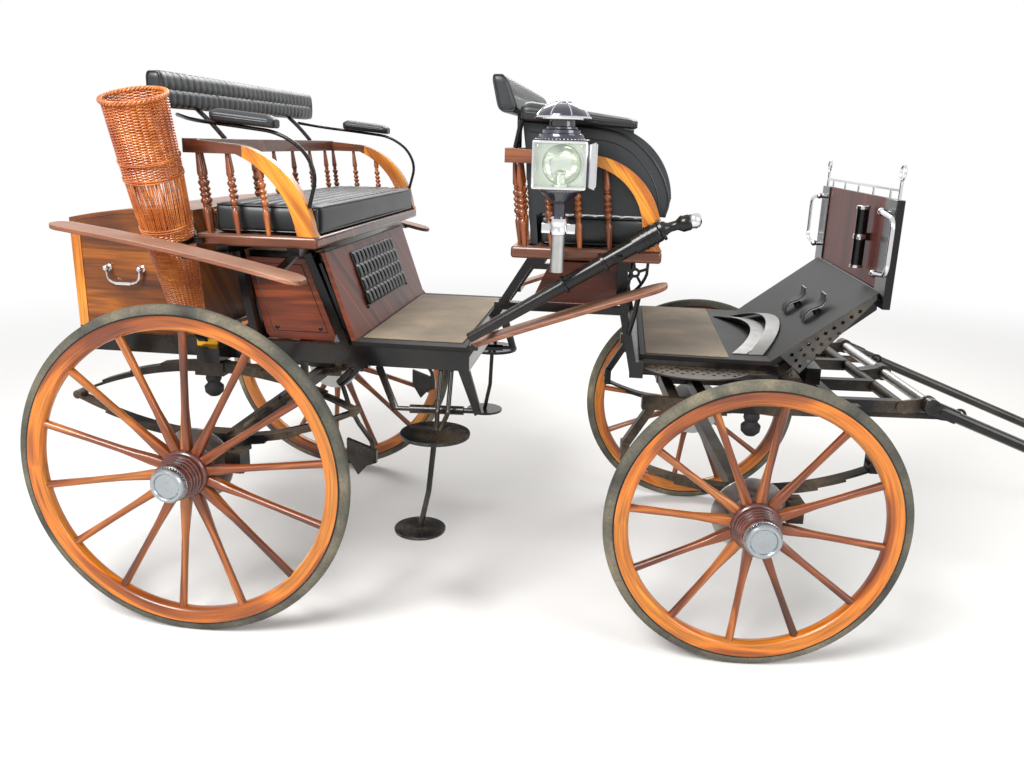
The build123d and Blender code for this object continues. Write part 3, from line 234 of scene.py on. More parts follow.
def tyreMaterial():
    material, tree, shader = newMaterial("tyreRubber", Roughness=0.82)
    place = mapped(tree)
    patches = noiseField(tree, place, 5.0, 7.0, 0.6)
    fine = noiseField(tree, place, 120.0, 4.0)
    mud = ramp(tree, patches, (0.28, (44, 44, 40)), (0.46, (82, 80, 70)), (0.60, (110, 104, 88)),
               (0.78, (158, 144, 116)))
    speckled = mixColour(tree, 0.5, mud, ramp(tree, fine, (0.35, 0.45), (0.65, 1)), "MULTIPLY")
    tree.links.new(speckled, shader.inputs["Base Color"])
    addBump(tree, shader, fine, 0.35, 0.0008)
    return material


def matMaterial():
    # Ribbed rubber matting under an even coat of road dust.
    material, tree, shader = newMaterial("floorMat", Roughness=0.8)
    place = mapped(tree)
    grit = noiseField(tree, place, 160.0, 3.0)
    ribs = addNode(tree, "TexWave", {"Vector": place, "Scale": 34.0}, bands_direction="Y")
    patches = noiseField(tree, place, 5.0, 5.0)
    base = ramp(tree, patches, (0.30, (126, 114, 98)), (0.55, (152, 136, 114)), (0.75, (176, 156, 128)))
    lined = mixColour(tree, 0.18, base, ribs.outputs["Color"], "MULTIPLY")
    speckled = mixColour(tree, 0.35, lined, ramp(tree, grit, (0.35, 0.5), (0.62, 1)), "MULTIPLY")
    tree.links.new(speckled, shader.inputs["Base Color"])
    addBump(tree, shader, ribs.outputs["Fac"], 0.3, 0.0012)
    return material


def wickerMaterial():
    # Varnished willow: every strand has its own tone, with golden and burnt stretches.
    shine = {"Roughness": 0.34, "Coat_Weight": 0.5, "Coat_Roughness": 0.15}
    material, tree, shader = newMaterial("varnishedWillow", **shine)
    strand = noiseField(tree, mapped(tree, (1, 4.4, 1), True), 3.0, 2.0)
    tones = ramp(tree, strand, (0.30, (150, 66, 20)), (0.48, (206, 112, 44)), (0.66, (236, 164, 84)))
    burnt = ramp(tree, noiseField(tree, mapped(tree), 9.0, 3.0), (0.32, (176, 110, 80)), (0.60, 1))
    tree.links.new(mixColour(tree, 0.8, tones, burnt, "MULTIPLY"), shader.inputs["Base Color"])
    addBump(tree, shader, noiseField(tree, mapped(tree, (40, 1, 1), True), 4.0, 3.0), 0.2, 0.0005)
    return material


# Finishes by the record's slot; woods have their dark, middle and light tones
finishes = {
    "varnished_wood": {
        "amber": wood("amberVarnish", (112, 46, 6), (208, 112, 18), (240, 160, 46), rings=34.0, coat=0.35),
        "spoke": wood("spokeVarnish", (66, 26, 6), (146, 70, 20), (206, 124, 48), rings=40.0, stretch=14.0,
                      coat=0.3),
        "nave": wood("naveVarnish", (58, 24, 20), (96, 44, 34), (120, 62, 46)),
        "box": wood("boxVarnish", (82, 38, 4), (146, 78, 14), (194, 116, 32), rings=44.0, stretch=6.0,
                    coat=0.12),
        "railBrown": wood("railVarnish", (62, 28, 14), (108, 54, 28), (146, 84, 46), dust=0.25, coat=0.3),
        "spindle": wood("spindleVarnish", (84, 36, 12), (150, 76, 30), (202, 120, 56), stretch=5.0, coat=0.5),
        "arm": wood("armVarnish", (128, 56, 8), (214, 126, 22), (240, 168, 52), rings=30.0, stretch=8.0,
                    coat=0.4),
    },
    "mahogany": {
        "mahogany": wood("mahoganyVarnish", (68, 24, 10), (128, 54, 24), (162, 82, 40), rings=36.0, coat=0.1,
                         roughness=0.42),
        # The mudguards' pale tops, from the dust amount, are partly road dust and partly a painted highlight.
        "guard": wood("mudguardVarnishDustAndSheen", (92, 50, 34), (142, 86, 60), (176, 122, 92), roughness=0.55,
                      coat=0.05, dust=0.9),
        "panel": wood("dashVarnish", (58, 18, 12), (96, 32, 20), (122, 50, 32), roughness=0.5, coat=0.0),
    },
    "black_paint": {
        "black": dusty("blackPaint", (4, 4, 6), 0.16, 0.24, coat=0.2),
        "iron": dusty("blackIron", (8, 8, 9), 0.5, 0.36),
        "stepIron": dusty("stepIron", (9, 9, 10), 0.35, 0.3, (150, 148, 142), scale=30.0, low=0.2, high=2.0),
        "underside": dusty("underPaint", (12, 12, 12), 1.0, 0.42),
        "petal": plainMaterial("blueBlackEnamel", (26, 28, 44), 0.14, 0.15, 0.0, Coat_Weight=1.0),
    },
    "floor_boards": {
        "toeMat": dusty("toeMat", (7, 7, 8), 0.10, 0.6, (96, 84, 70), scale=9.0, low=0.9, high=1.2),
    },
    "leather": {
        "leather": leatherMaterial("blackLeather", (11, 14, 17), (27, 32, 36)),
        "piping": leatherMaterial("pipingLeather", (9, 10, 12), (20, 23, 25)),
    },
    "rubber": {
        "rubber": plainMaterial("blackRubber", (26, 26, 27), 0.55, 0.3, 0.0),
        "mat": matMaterial(),
    },
    "tyre": {"tyre": tyreMaterial()},
    "wicker": {"wicker": wickerMaterial()},
    "bright_steel": {
        "chrome": plainMaterial("chrome", (214, 214, 216), 0.06, 0.16),
        "cap": plainMaterial("hubSteel", (160, 166, 170), 0.16, 0.25),
        "brushed": plainMaterial("scoredSteel", (176, 176, 174), 0.2, 0.35, scale=60.0),
        "band": plainMaterial("bandSteel", (126, 124, 122), 0.30, 0.25),
        "reflector": plainMaterial("amberReflector", (246, 176, 18), 0.18, 0.1, 0.0),
        "mirror": plainMaterial("lampMirror", (222, 226, 206), 0.10, 0.2),
        "glass": plainMaterial("lampGlass", (206, 222, 230), 0.02, 0.05, 0.0, Alpha=0.10),
    },
}
materials = {key: material for held in finishes.values() for key, material in held.items()}
slotOf = {key: slot for slot, held in finishes.items() for key in held}
print("materials made,", len(materials))


# Mesh helpers

def finishPiece(name, bm, material, body="carriage", place=onBody, slot=None, stands=(), smooth=38.0):
    # Turns a bmesh, drawn in metres from the rear axle, into a piece that rides on a body.
    if place is not None:
        bmesh.ops.transform(bm, matrix=place, verts=bm.verts)
        if place.determinant() < 0:
            bmesh.ops.reverse_faces(bm, faces=bm.faces)
    mesh = bpy.data.meshes.new(name)
    bm.to_mesh(mesh)
    bm.free()
    mesh.materials.append(materials[material])
    mesh.shade_smooth()
    mesh.set_sharp_from_angle(angle=math.radians(smooth))
    if mesh.uv_layers:
        mesh.uv_layers[0].name = "grain"
    piece = bpy.data.objects.new(name, mesh)
    scene.collection.objects.link(piece)
    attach(piece, body)
    slot or slotOf[material]
    if stands:
        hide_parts(*stands)
    return piece


def softEdge(piece, width, segments=2, angle=40):
    edge = piece.modifiers.new("softEdge", "BEVEL")
    edge.width = width
    edge.segments = segments
    edge.limit_method = "ANGLE"
    edge.angle_limit = math.radians(angle)


def mapGrain(bm, faces, spot):
    # Sets the grain map's u and v at every corner of the faces.
    layer = bm.loops.layers.uv.verify()
    for face in faces:
        for loop in face.loops:
            loop[layer].uv = spot(face, loop.vert.co)


def grainStraight(bm, along="x", skew=0.83):
    # A grain map whose u runs along one axis.
    first, second, third = {"x": (0, 1, 2), "z": (2, 0, 1)}[along]
    mapGrain(bm, bm.faces, lambda face, co: (co[first], co[second] + skew * co[third]))


def grainRound(bm):
    # A grain map whose u runs round the Y axis.
    def spot(face, co):
        centre = face.calc_center_median()
        base = math.atan2(centre.z, centre.x)
        turn = (math.atan2(co.z, co.x) - base + math.pi) % (2 * math.pi) - math.pi
        return ((base + turn) * 0.5, math.hypot(co.x, co.z) + 0.7 * co.y)
    mapGrain(bm, bm.faces, spot)


def joined(bm, own, place=None):
    # Adds own, put in its place, to bm, or gives own back where there is no bm.
    if place is not None:
        bmesh.ops.transform(own, matrix=place, verts=own.verts)
    if bm is None:
        return own
    mesh = bpy.data.meshes.new("part")
    own.to_mesh(mesh)
    own.free()
    bm.from_mesh(mesh)
    bpy.data.meshes.remove(mesh)
    return bm


def repeated(one, places, shiftU, shiftV):
    # A copy at each place, with its grain moved on from the last one's.
    bm = bmesh.new()
    for index, place in enumerate(places):
        copy = one.copy()
        layer = copy.loops.layers.uv.verify()
        for face in copy.faces:
            for loop in face.loops:
                loop[layer].uv += Vector((index * shiftU, index * shiftV))
        joined(bm, copy, place)
    one.free()
    return bm


def spun(profile, steps=64, axis=(0, 1, 0), bm=None, place=None):
    # A turned form from (radius, distance along the axis) pairs, which start and end on the axis or close on
    # themselves.
    own = bmesh.new()
    along = Vector(axis)
    out = Vector((1, 0, 0)) if abs(along.x) < 0.5 else Vector((0, 0, 1))
    points = [own.verts.new(out * radius + along * distance) for radius, distance in profile]
    edges = [own.edges.new(pair) for pair in zip(points, points[1:])]
    if profile[0][0] > 1e-6:
        edges.append(own.edges.new((points[-1], points[0])))
    bmesh.ops.spin(own, geom=points + edges, cent=(0, 0, 0), axis=along, angle=2 * math.pi, steps=steps,
                   use_merge=True)
    bmesh.ops.remove_doubles(own, verts=own.verts, dist=1e-6)
    bmesh.ops.recalc_face_normals(own, faces=own.faces)
    return joined(bm, own, place)


def upright(profile, steps, bm=None, place=None):
    return spun(profile, steps, (0, 0, 1), bm, place)


def boxed(x, y, z, bevel=0.0, bm=None, segments=2, place=None):
    # A box between the low and high values of x, y and z, with rounded edges.
    own = bmesh.new()
    middle = [(low + high) / 2 for low, high in (x, y, z)]
    size = [high - low for low, high in (x, y, z)]
    bmesh.ops.create_cube(own, size=1, matrix=Matrix.Translation(middle) @ Matrix.Diagonal((*size, 1)))
    if bevel:
        bmesh.ops.bevel(own, geom=own.edges, offset=bevel, segments=segments, profile=0.5, affect="EDGES",
                        material=-1)
    return joined(bm, own, place)


def rounded(points, bend, steps=6):
    # A path whose corners are rounded by up to the bend length.
    path = [Vector(points[0])]
    for before, corner, after in zip(points, points[1:], points[2:]):
        corner = Vector(corner)
        back = Vector(before) - corner
        ahead = Vector(after) - corner
        reach = min(bend, back.length * 0.48, ahead.length * 0.48)
        start = corner + back.normalized() * reach
        end = corner + ahead.normalized() * reach
        for step in range(steps + 1):
            share = step / steps
            path.append(start * (1 - share) ** 2 + corner * 2 * share * (1 - share) + end * share ** 2)
    path.append(Vector(points[-1]))
    return path


def wires(paths, radius, bm=None, resolution=2, cyclic=False, place=None):
    # Round wires along paths.
    data = bpy.data.curves.new("wire", "CURVE")
    data.dimensions = "3D"
    data.bevel_depth = radius
    data.bevel_resolution = resolution
    data.use_fill_caps = True
    for path in paths:
        spline = data.splines.new("POLY")
        spline.points.add(len(path) - 1)
        spline.use_cyclic_u = cyclic
        for point, spot in zip(spline.points, path):
            point.co = (*spot, 1)
    holder = bpy.data.objects.new("wire", data)
    mesh = bpy.data.meshes.new_from_object(holder)
    bpy.data.objects.remove(holder)
    bpy.data.curves.remove(data)
    own = bmesh.new()
    own.from_mesh(mesh)
    bpy.data.meshes.remove(mesh)
    bmesh.ops.remove_doubles(own, verts=own.verts, dist=1e-6)
    bmesh.ops.recalc_face_normals(own, faces=own.faces)
    return joined(bm, own, place)


def roundPath(steps, spot):
    # A closed path; spot gives radius and height at an angle.
    path = []
    for step in range(steps):
        angle = 2 * math.pi * step / steps
        radius, height = spot(angle)
        path.append((radius * math.cos(angle), radius * math.sin(angle), height))
    return path


def alongLine(start, end):
    # Puts what is drawn along Z from its foot onto the line from start to end.
    line = Vector(end) - Vector(start)
    return Matrix.Translation(start) @ line.to_track_quat("Z", "Y").to_matrix().to_4x4()


def bothSides(bm):
    # Adds the mirror image on the other side of the carriage.
    geometry = bm.verts[:] + bm.edges[:] + bm.faces[:]
    copy = bmesh.ops.duplicate(bm, geom=geometry)["geom"]
    verts = [item for item in copy if isinstance(item, bmesh.types.BMVert)]
    faces = [item for item in copy if isinstance(item, bmesh.types.BMFace)]
    bmesh.ops.transform(bm, matrix=mirrored, verts=verts)
    bmesh.ops.reverse_faces(bm, faces=faces)
    return bm


def cadMesh(node):
    # A merged copy of a CAD node's mesh, with its flat faces joined.
    bm = bmesh.new()
    bm.from_mesh(nodes[node].data)
    bmesh.ops.remove_doubles(bm, verts=bm.verts, dist=2e-6)
    bmesh.ops.dissolve_limit(bm, angle_limit=math.radians(0.4), verts=bm.verts, edges=bm.edges)
    return bm


def dressed(node, material, edge, grain=None, slot=None, segments=2):
    # A copy of a CAD node with soft edges and a finish, which stands for the node.
    bm = cadMesh(node)
    if grain:
        grainStraight(bm, grain)
    piece = finishPiece(node + "_dressed", bm, material, nodeBody[node], None, slot, (node,), 32.0)
    softEdge(piece, edge, segments)


# Wheels, drawn with the axle along Y, outboard towards +Y and the rim's middle at y = 0

wheelLook = {"rimSteps": 144, "dish": 0.025, "naveRadius": 0.080, "tyreDepth": 0.034, "rimDepth": 0.046,
             "rimHalf": 0.0225, "discBolts": 6, "knurls": 40}
# Columns: end, radius, rim face y, x of the axle, spokes, their turn, the matrix it stands in
wheelRows = [
    ("rear", 0.549, 0.813, 0.0, 14, 4.2, onBody),
    ("front", 0.473, 0.708, wheelbase, 12, 6.8, onFore),
]
# Columns: share of the spoke's length, half width round the wheel, half depth along the axle, squareness
spokeRows = [(0.0, 0.0165, 0.0195, 0.55), (0.10, 0.0160, 0.0190, 0.5), (0.24, 0.0135, 0.0165, 0.25),
             (0.36, 0.0118, 0.0140, 0.0), (0.60, 0.0112, 0.0130, 0.0), (0.90, 0.0125, 0.0138, 0.0),
             (1.0, 0.0130, 0.0142, 0.0)]


def felloes(outer, inner):
    # The wooden rim: flat under the tyre, rounded towards the hub.
    half, bend = wheelLook["rimHalf"], 0.012
    profile = [(outer, -half), (outer, half), (inner + bend, half)]
    for step in range(1, 8):
        angle = math.pi * step / 8
        profile.append((inner + bend - bend * math.sin(angle), half * math.cos(angle) * 0.97))
    bm = spun(profile + [(inner + bend, -half)], wheelLook["rimSteps"])
    grainRound(bm)
    return bm


def spokeMesh(root, tip):
    # A spoke that is flat and wide at the nave and round at the rim.
    bm = bmesh.new()
    ring = bmesh.ops.create_circle(bm, cap_ends=False, radius=1.0, segments=14)["verts"]
    edges = bm.edges[:]
    lastWidth, lastDepth = 1, 1
    for index, (share, halfWidth, halfDepth, square) in enumerate(spokeRows):
        if index:
            made = bmesh.ops.extrude_edge_only(bm, edges=edges)["geom"]
            ring = [item for item in made if isinstance(item, bmesh.types.BMVert)]
            edges = [item for item in made if isinstance(item, bmesh.types.BMEdge)
                     and item.verts[0] in ring and item.verts[1] in ring]
        middle = Vector((0, -wheelLook["dish"] * (1 - share), root + (tip - root) * share))
        centre = sum((vert.co for vert in ring), Vector()) / len(ring)
        for vert in ring:
            angle = math.atan2((vert.co.y - centre.y) / lastDepth, (vert.co.x - centre.x) / lastWidth)
            c, s = math.cos(angle), math.sin(angle)
            swell = 1 + square * (1 / max(abs(c), abs(s)) - 1)
            vert.co = middle + Vector((halfWidth * c * swell, halfDepth * s * swell, 0))
        lastWidth, lastDepth = halfWidth, halfDepth
    grainStraight(bm, "z", 0.8)
    bmesh.ops.recalc_face_normals(bm, faces=bm.faces)
    return bm


def spokeSet(inner, count, turn):
    one = spokeMesh(wheelLook["naveRadius"] - 0.006, inner + 0.006)
    return repeated(one, [turned(turn + 360 * index / count, "Y") for index in range(count)], 0.731, 0.217)


def naveMesh():
    # A turned barrel with four rings outboard of the spokes.
    full = wheelLook["naveRadius"]
    profile = [(0.024, -0.090), (0.058, -0.090), (0.062, -0.086), (0.064, -0.066), (0.074, -0.060),
               (full - 0.001, -0.052), (full, -0.046), (full, -0.002), (full - 0.002, 0.004), (0.072, 0.008),
               (0.071, 0.012)]
    for ring in range(4):
        y = 0.014 + ring * 0.014
        crest = 0.0715 - ring * 0.0026
        profile += [(crest, y), (crest, y + 0.009)]
        profile += [(crest - 0.0035, y + 0.0105), (crest - 0.0035, y + 0.0125)]
    bm = spun(profile + [(0.060, 0.072), (0.058, 0.078), (0.024, 0.078)], 72)
    grainRound(bm)
    return bm


def tyreMesh(radius):
    # Cushion rubber with a round crown and small shoulders.
    inner = radius - 0.0338
    shoulder = [(inner, 0.0185), (inner + 0.004, 0.0198), (inner + 0.015, 0.0192)]
    profile = [(r, -y) for r, y in shoulder]
    for step in range(9):
        angle = math.radians(-78 + 156 * step / 8)
        profile.append((radius - 0.0145 + 0.0145 * math.cos(angle), 0.0172 * math.sin(angle)))
    return spun(profile + shoulder[::-1], wheelLook["rimSteps"])


def channelMesh(radius):
    # The steel channel between the rubber and the wood.
    outer = radius - 0.0290
    inner = radius - 0.0365
    half = [(inner + 0.001, 0.0190), (outer, 0.0190), (outer, 0.0210), (inner, 0.0205)]
    return spun([(r, -y) for r, y in half[::-1]] + half, 96)


def hubCap():
    # Polished cap with a knurled band, a ringed edge and a sunk centre.
    base = Matrix.Translation((0, 0.0782, 0))
    profile = [(0, 0), (0.0566, 0), (0.0570, 0.002), (0.0570, 0.005), (0.0552, 0.006), (0.0552, 0.016),
               (0.0568, 0.0175), (0.0562, 0.0215), (0.0535, 0.0265), (0.0500, 0.0308), (0.0425, 0.0308),
               (0.0400, 0.0285), (0.0385, 0.0245), (0.0150, 0.0238), (0.0120, 0.0245), (0, 0.0245)]
    bm = spun(profile, 72, place=base)
    for index in range(wheelLook["knurls"]):
        place = base @ turned(360 * index / wheelLook["knurls"], "Y")
        boxed((0.0540, 0.0569), (0.0062, 0.0160), (-0.0018, 0.0018), 0.0007, bm, 1, place)
    return bm


def brakeDisc():
    # Disc, its hat and rim ring, on the nave's inner end.
    base = Matrix.Translation((0, -0.0902, 0))
    profile = [(0.024, 0), (0.052, 0), (0.056, -0.003), (0.056, -0.008), (0.1215, -0.008), (0.122, -0.0085),
               (0.122, -0.0136), (0.1215, -0.0140), (0.024, -0.0140)]
    bm = spun(profile, 96, place=base)
    for index in range(wheelLook["discBolts"]):
        turn = turned(360 * (index + 0.5) / wheelLook["discBolts"], "Y")
        spun([(0, 0), (0.006, 0), (0.006, 0.004), (0, 0.004)], 6, (0, 1, 0), bm,
             base @ turn @ Matrix.Translation((0.044, -0.0002, 0)))
    return bm


for end, radius, faceY, axleX, count, turn, frameMatrix in wheelRows:
    outer = radius - wheelLook["tyreDepth"]
    inner = outer - wheelLook["rimDepth"]
    for side in ("left", "right"):
        place = Matrix.Translation((axleX, faceY - wheelLook["rimHalf"], radius))
        place = frameMatrix @ (mirrored @ place if side == "right" else place)
        tag = f"{end}_{side}"
        where = (f"wheel_set_{tag}", place)
        finishPiece(f"felloes_{tag}", felloes(outer, inner), "amber", *where, stands=(f"wheel_{tag}",))
        finishPiece(f"spokes_{tag}", spokeSet(inner, count, turn), "spoke", *where)
        finishPiece(f"nave_{tag}", naveMesh(), "nave", *where)
        finishPiece(f"rubber_{tag}", tyreMesh(radius), "tyre", *where, stands=(f"tyre_{tag}",))
        finishPiece(f"channel_{tag}", channelMesh(radius), "black", *where)
        finishPiece(f"cap_{tag}", hubCap(), "cap", *where, stands=(f"hub_{tag}",), smooth=30)
        finishPiece(f"disc_{tag}", brakeDisc(), "brushed", *where, "brushed", smooth=30)
print("wheels made")

# CAD pieces whose form is right
# Columns: finish, edge radius, grain, the nodes, and a slot that differs from the finish's own
dressedRows = [
    ("black", 0.002, None, "body_frame dash_frame"),
    ("black", 0.001, None, "shafts radius_rods side_struts steps stowed_pole"),
    ("black", 0.0008, None, "side_irons"),
    ("black", 0.0008, None, "whip_holder", "bright_steel"),
    ("iron", 0.002, None, "rear_axle front_axle front_gear_frame"),
    ("iron", 0.001, None, "turntable_upper turntable_lower draught_bar trace_bars"),
    ("iron", 0.0008, None, "rear_springs front_springs"),
    ("iron", 0.0006, None, "side_treads"),
    ("underside", 0.001, None, "dampers"),
    ("brushed", 0.001, None, "shaft_crossbar", "black_paint"),
    ("brushed", 0.001, None, "lamp_brackets"),
    ("chrome", 0.0005, None, "dash_rails"),
    ("rubber", 0.002, None, "rear_bump_stops front_bump_stops"),
    ("mat", 0.001, None, "floor_mats"),
    ("toeMat", 0.0015, None, "step_floor foot_boards"),
    ("mahogany", 0.001, "x", "seat_boxes"),
    ("box", 0.002, "x", "rear_box rear_box_lid"),
    ("panel", 0.001, "z", "dash_panel"),
    ("guard", 0.003, "x", "mudguards"),
]
for material, edge, grain, held, *slot in dressedRows:
    for node in held.split():
        dressed(node, material, edge, grain, *slot)
dressed("seat_bases", "railBrown", 0.009, "x", segments=3)
print("iron and wood dressed")

# The top rails: red-brown round the back, amber on the arms, which run from a joint to their front end
armJoints = [(0.192, 0.60), (1.190, 1.90)]


def railAndArms():
    bm = cadMesh("seat_rails")
    for joint, reach in armJoints:
        bmesh.ops.bisect_plane(bm, geom=bm.verts[:] + bm.edges[:] + bm.faces[:],
                               plane_co=(joint + rearAxleX, 0, 0), plane_no=(1, 0, 0))
    grainStraight(bm)
    middles = [(face, face.calc_center_median().x - rearAxleX) for face in bm.faces]
    arms = [face for face, x in middles if any(joint < x < reach for joint, reach in armJoints)]
    for face in arms:
        face.material_index = 1
    # The arms are sawn from boards, so their grain falls with them towards the seat
    mapGrain(bm, arms, lambda face, co: (0.58 * co.x - 0.81 * co.z, 0.81 * co.x + 0.58 * co.z + 0.83 * co.y))
    piece = finishPiece("seat_rails_dressed", bm, "railBrown", place=None, stands=("seat_rails",), smooth=32)
    piece.data.materials.append(materials["arm"])
    softEdge(piece, 0.008, 3)


railAndArms()

# Seats

seatRows = [
    # Half width of the rails' middle, x of the spindles beside, x of the back row
    (0.634, (0.066, 0.160, 0.258), 0.049),
    (0.614, (1.050, 1.130, 1.215, 1.304), 1.029),
]
spindleLook = {"foot": 1.2978, "top": 1.5385, "lean": 0.024, "backCount": 7, "cornerGap": 0.06, "sides": 14}
# Long vase, collar, three beads, collar, long vase, as radius and share of the height
spindleRows = [
    (0, 0), (0.0068, 0.0), (0.0072, 0.03), (0.0104, 0.24), (0.0108, 0.285), (0.0070, 0.315), (0.0062, 0.325),
    (0.0090, 0.335), (0.0090, 0.345), (0.0062, 0.352), (0.0088, 0.372), (0.0122, 0.395), (0.0122, 0.415),
    (0.0088, 0.438), (0.0064, 0.446), (0.0104, 0.466), (0.0118, 0.482), (0.0104, 0.498), (0.0064, 0.512),
    (0.0104, 0.532), (0.0118, 0.548), (0.0104, 0.564), (0.0064, 0.578), (0.0090, 0.600), (0.0122, 0.625),
    (0.0118, 0.645), (0.0080, 0.662), (0.0062, 0.672), (0.0088, 0.682), (0.0088, 0.694), (0.0066, 0.702),
    (0.0104, 0.735), (0.0100, 0.775), (0.0066, 0.97), (0.0060, 1.0), (0, 1.0),
]


def spindleRow(railY, sideX, backX):
    height = spindleLook["top"] - spindleLook["foot"]
    one = upright([(radius, share * height) for radius, share in spindleRows], spindleLook["sides"])
    grainStraight(one, "z")
    lean = Matrix.Identity(4)
    lean[0][2] = -spindleLook["lean"] / height
    reach = railY - spindleLook["cornerGap"]
    gap = 2 * reach / (spindleLook["backCount"] - 1)
    spots = [(x, side * railY) for x in sideX for side in (-1, 1)]
    spots += [(backX, -reach + index * gap) for index in range(spindleLook["backCount"])]
    places = [Matrix.Translation((x, y, spindleLook["foot"])) @ lean for x, y in spots]
    return repeated(one, places, 0.37, 0.61)


spindles = None
for row in seatRows:
    spindles = joined(spindles, spindleRow(*row))
finishPiece("turned_spindles", spindles, "spindle", stands=("seat_spindles",))
print("spindles made")


def softBox(low, high, segments, radius):
    # Six grids merged to a box with rounded edges; gives the mesh, the half sizes and the middle.
    bm = bmesh.new()
    half = [(b - a) / 2 for a, b in zip(low, high)]
    middle = Vector([(a + b) / 2 for a, b in zip(low, high)])
    for first, second, normal in ((0, 1, 2), (0, 2, 1), (1, 2, 0)):
        for side in (-1, 1):
            made = bmesh.ops.create_grid(bm, x_segments=segments[first], y_segments=segments[second], size=1)
            for vert in made["verts"]:
                spot = [0, 0, 0]
                spot[first] = vert.co.x
                spot[second] = vert.co.y
                spot[normal] = side
                vert.co = spot
    bmesh.ops.remove_doubles(bm, verts=bm.verts, dist=1e-4)
    for vert in bm.verts:
        spot = Vector([value * reach for value, reach in zip(vert.co, half)])
        inner = Vector([max(radius - reach, min(reach - radius, value)) for value, reach in zip(spot, half)])
        out = spot - inner
        if out.length > 1e-9:
            spot = inner + out.normalized() * radius
        vert.co = spot
    bmesh.ops.recalc_face_normals(bm, faces=bm.faces)
    return bm, half, middle


def clamp(value):
    return max(0.0, min(1.0, value))


def puffed(value, pitch):
    # 0 on a seam, rising to 1 in the middle between two seams.
    share = abs((value / pitch) % 1.0 - 0.5) * 2
    return math.sqrt(max(0.0, 1 - share ** 2.6))


def inside(value, reach, width):
    # 0 at the edge, 1 from the width inwards.
    return clamp((reach - abs(value)) / width)


def ringPath(low, high, bend, steps=5):
    # A closed rounded rectangle of two coordinates.
    path = []
    corners = [(low[0] + bend, low[1] + bend, 180), (high[0] - bend, low[1] + bend, 270),
               (high[0] - bend, high[1] - bend, 0), (low[0] + bend, high[1] - bend, 90)]
    for first, second, start in corners:
        for step in range(steps + 1):
            angle = math.radians(start + 90 * step / steps)
            path.append((first + bend * math.cos(angle), second + bend * math.sin(angle)))
    return path


def finishSoft(name, bm, stands, smooth=60):
    finishPiece(name, bm, "leather", stands=(stands,), smooth=smooth)


cushionLook = {"channel": 0.0405, "seamDepth": 0.006, "crown": 0.008, "pull": 0.008, "piping": 0.0026,
               "pipingHeights": (1.3840, 1.3065)}
cushionRows = [
    ((0.072, -0.607, 1.2985), (0.411, 0.607, 1.392)),
    ((1.092, -0.587, 1.2985), (1.451, 0.587, 1.392)),
]


def seatCushion(low, high):
    # Channelled crowned top, sides that pull in between the corners, flat underneath.
    bm, half, middle = softBox(low, high, (96, 56, 8), 0.016)
    for vert in bm.verts:
        x, y, z = vert.co
        across = max(0.0, 1 - (x / half[0]) ** 2)
        along = max(0.0, 1 - (y / half[1]) ** 2)
        rise = clamp((z + half[2]) / (2 * half[2]))
        inner = inside(x, half[0], 0.03) * inside(y, half[1], 0.03)
        lift = cushionLook["crown"] * across ** 0.5 * along ** 0.4 - 0.004
        lift -= cushionLook["seamDepth"] * (1 - puffed(x + half[0], cushionLook["channel"])) * inner
        z += lift * clamp((rise - 0.55) / 0.45)
        pull = cushionLook["pull"] * (1 - math.sin(math.pi * rise))
        if abs(x) > half[0] - 0.02:
            x -= math.copysign(pull * along, x)
        if abs(y) > half[1] - 0.02:
            y -= math.copysign(pull * across, y)
        vert.co = Vector((x, y, z)) + middle
    return bm


cushions = None
cushionSeams = bmesh.new()
for low, high in cushionRows:
    cushions = joined(cushions, seatCushion(low, high))
    edge = ringPath((low[0] + 0.003, low[1] + 0.003), (high[0] - 0.003, high[1] - 0.003), 0.02)
    for z in cushionLook["pipingHeights"]:
        wires([[(x, y, z) for x, y in edge]], cushionLook["piping"], cushionSeams, 1, True)
finishSoft("quilted_cushions", cushions, "seat_cushions")
finishPiece("cushion_piping", cushionSeams, "piping")

backLook = {"pleat": 0.041, "pleatDepth": 0.0042, "seamDepth": 0.006, "seamWidth": 0.14, "crown": 0.005,
            "piping": 0.0026}
backRows = [
    # Half width, low and high z, rear and front x at the bottom, rear and front x at the top
    (0.650, 1.669, 1.772, -0.099, -0.050, -0.099, -0.052),
    (0.620, 1.680, 1.784, 0.960, 1.018, 0.938, 0.978),
]


def backX(row, front, rise):
    # The x at a share of the depth and of the height.
    rearFoot, frontFoot, rearTop, frontTop = row[3:]
    rear = rearFoot + (rearTop - rearFoot) * rise
    return rear + (frontFoot + (frontTop - frontFoot) * rise - rear) * front


def pleatedPad(row):
    # Backrest: vertical pleats, one level seam at mid height, boxed ends.
    halfWidth, lowZ, highZ = row[:3]
    count = int(2 * halfWidth / backLook["pleat"])
    bm, half, middle = softBox((0, -halfWidth, lowZ), (0.05, halfWidth, highZ), (8, count * 6, 14), 0.017)
    for vert in bm.verts:
        x, y, z = vert.co
        rise = clamp((z + half[2]) / (2 * half[2]))
        front = (x / half[0] + 1) / 2
        inner = inside(y, half[1] - 0.012, 0.02)
        folds = 1 - puffed(y + half[1] + 0.004 * math.sin(40 * z), backLook["pleat"])
        seam = max(0.0, 1 - abs(rise - 0.5) / backLook["seamWidth"]) ** 2
        bulge = backLook["crown"] * (1 - (2 * rise - 1) ** 2)
        bulge -= (backLook["pleatDepth"] * folds + backLook["seamDepth"] * seam) * inner
        z += math.copysign(0.0024 * (1 - folds) * inner * (abs(z) / half[2]) ** 4, z)
        vert.co = (backX(row, front, rise) + front * bulge, y, z + middle.z)
    bmesh.ops.recalc_face_normals(bm, faces=bm.faces)
    return bm


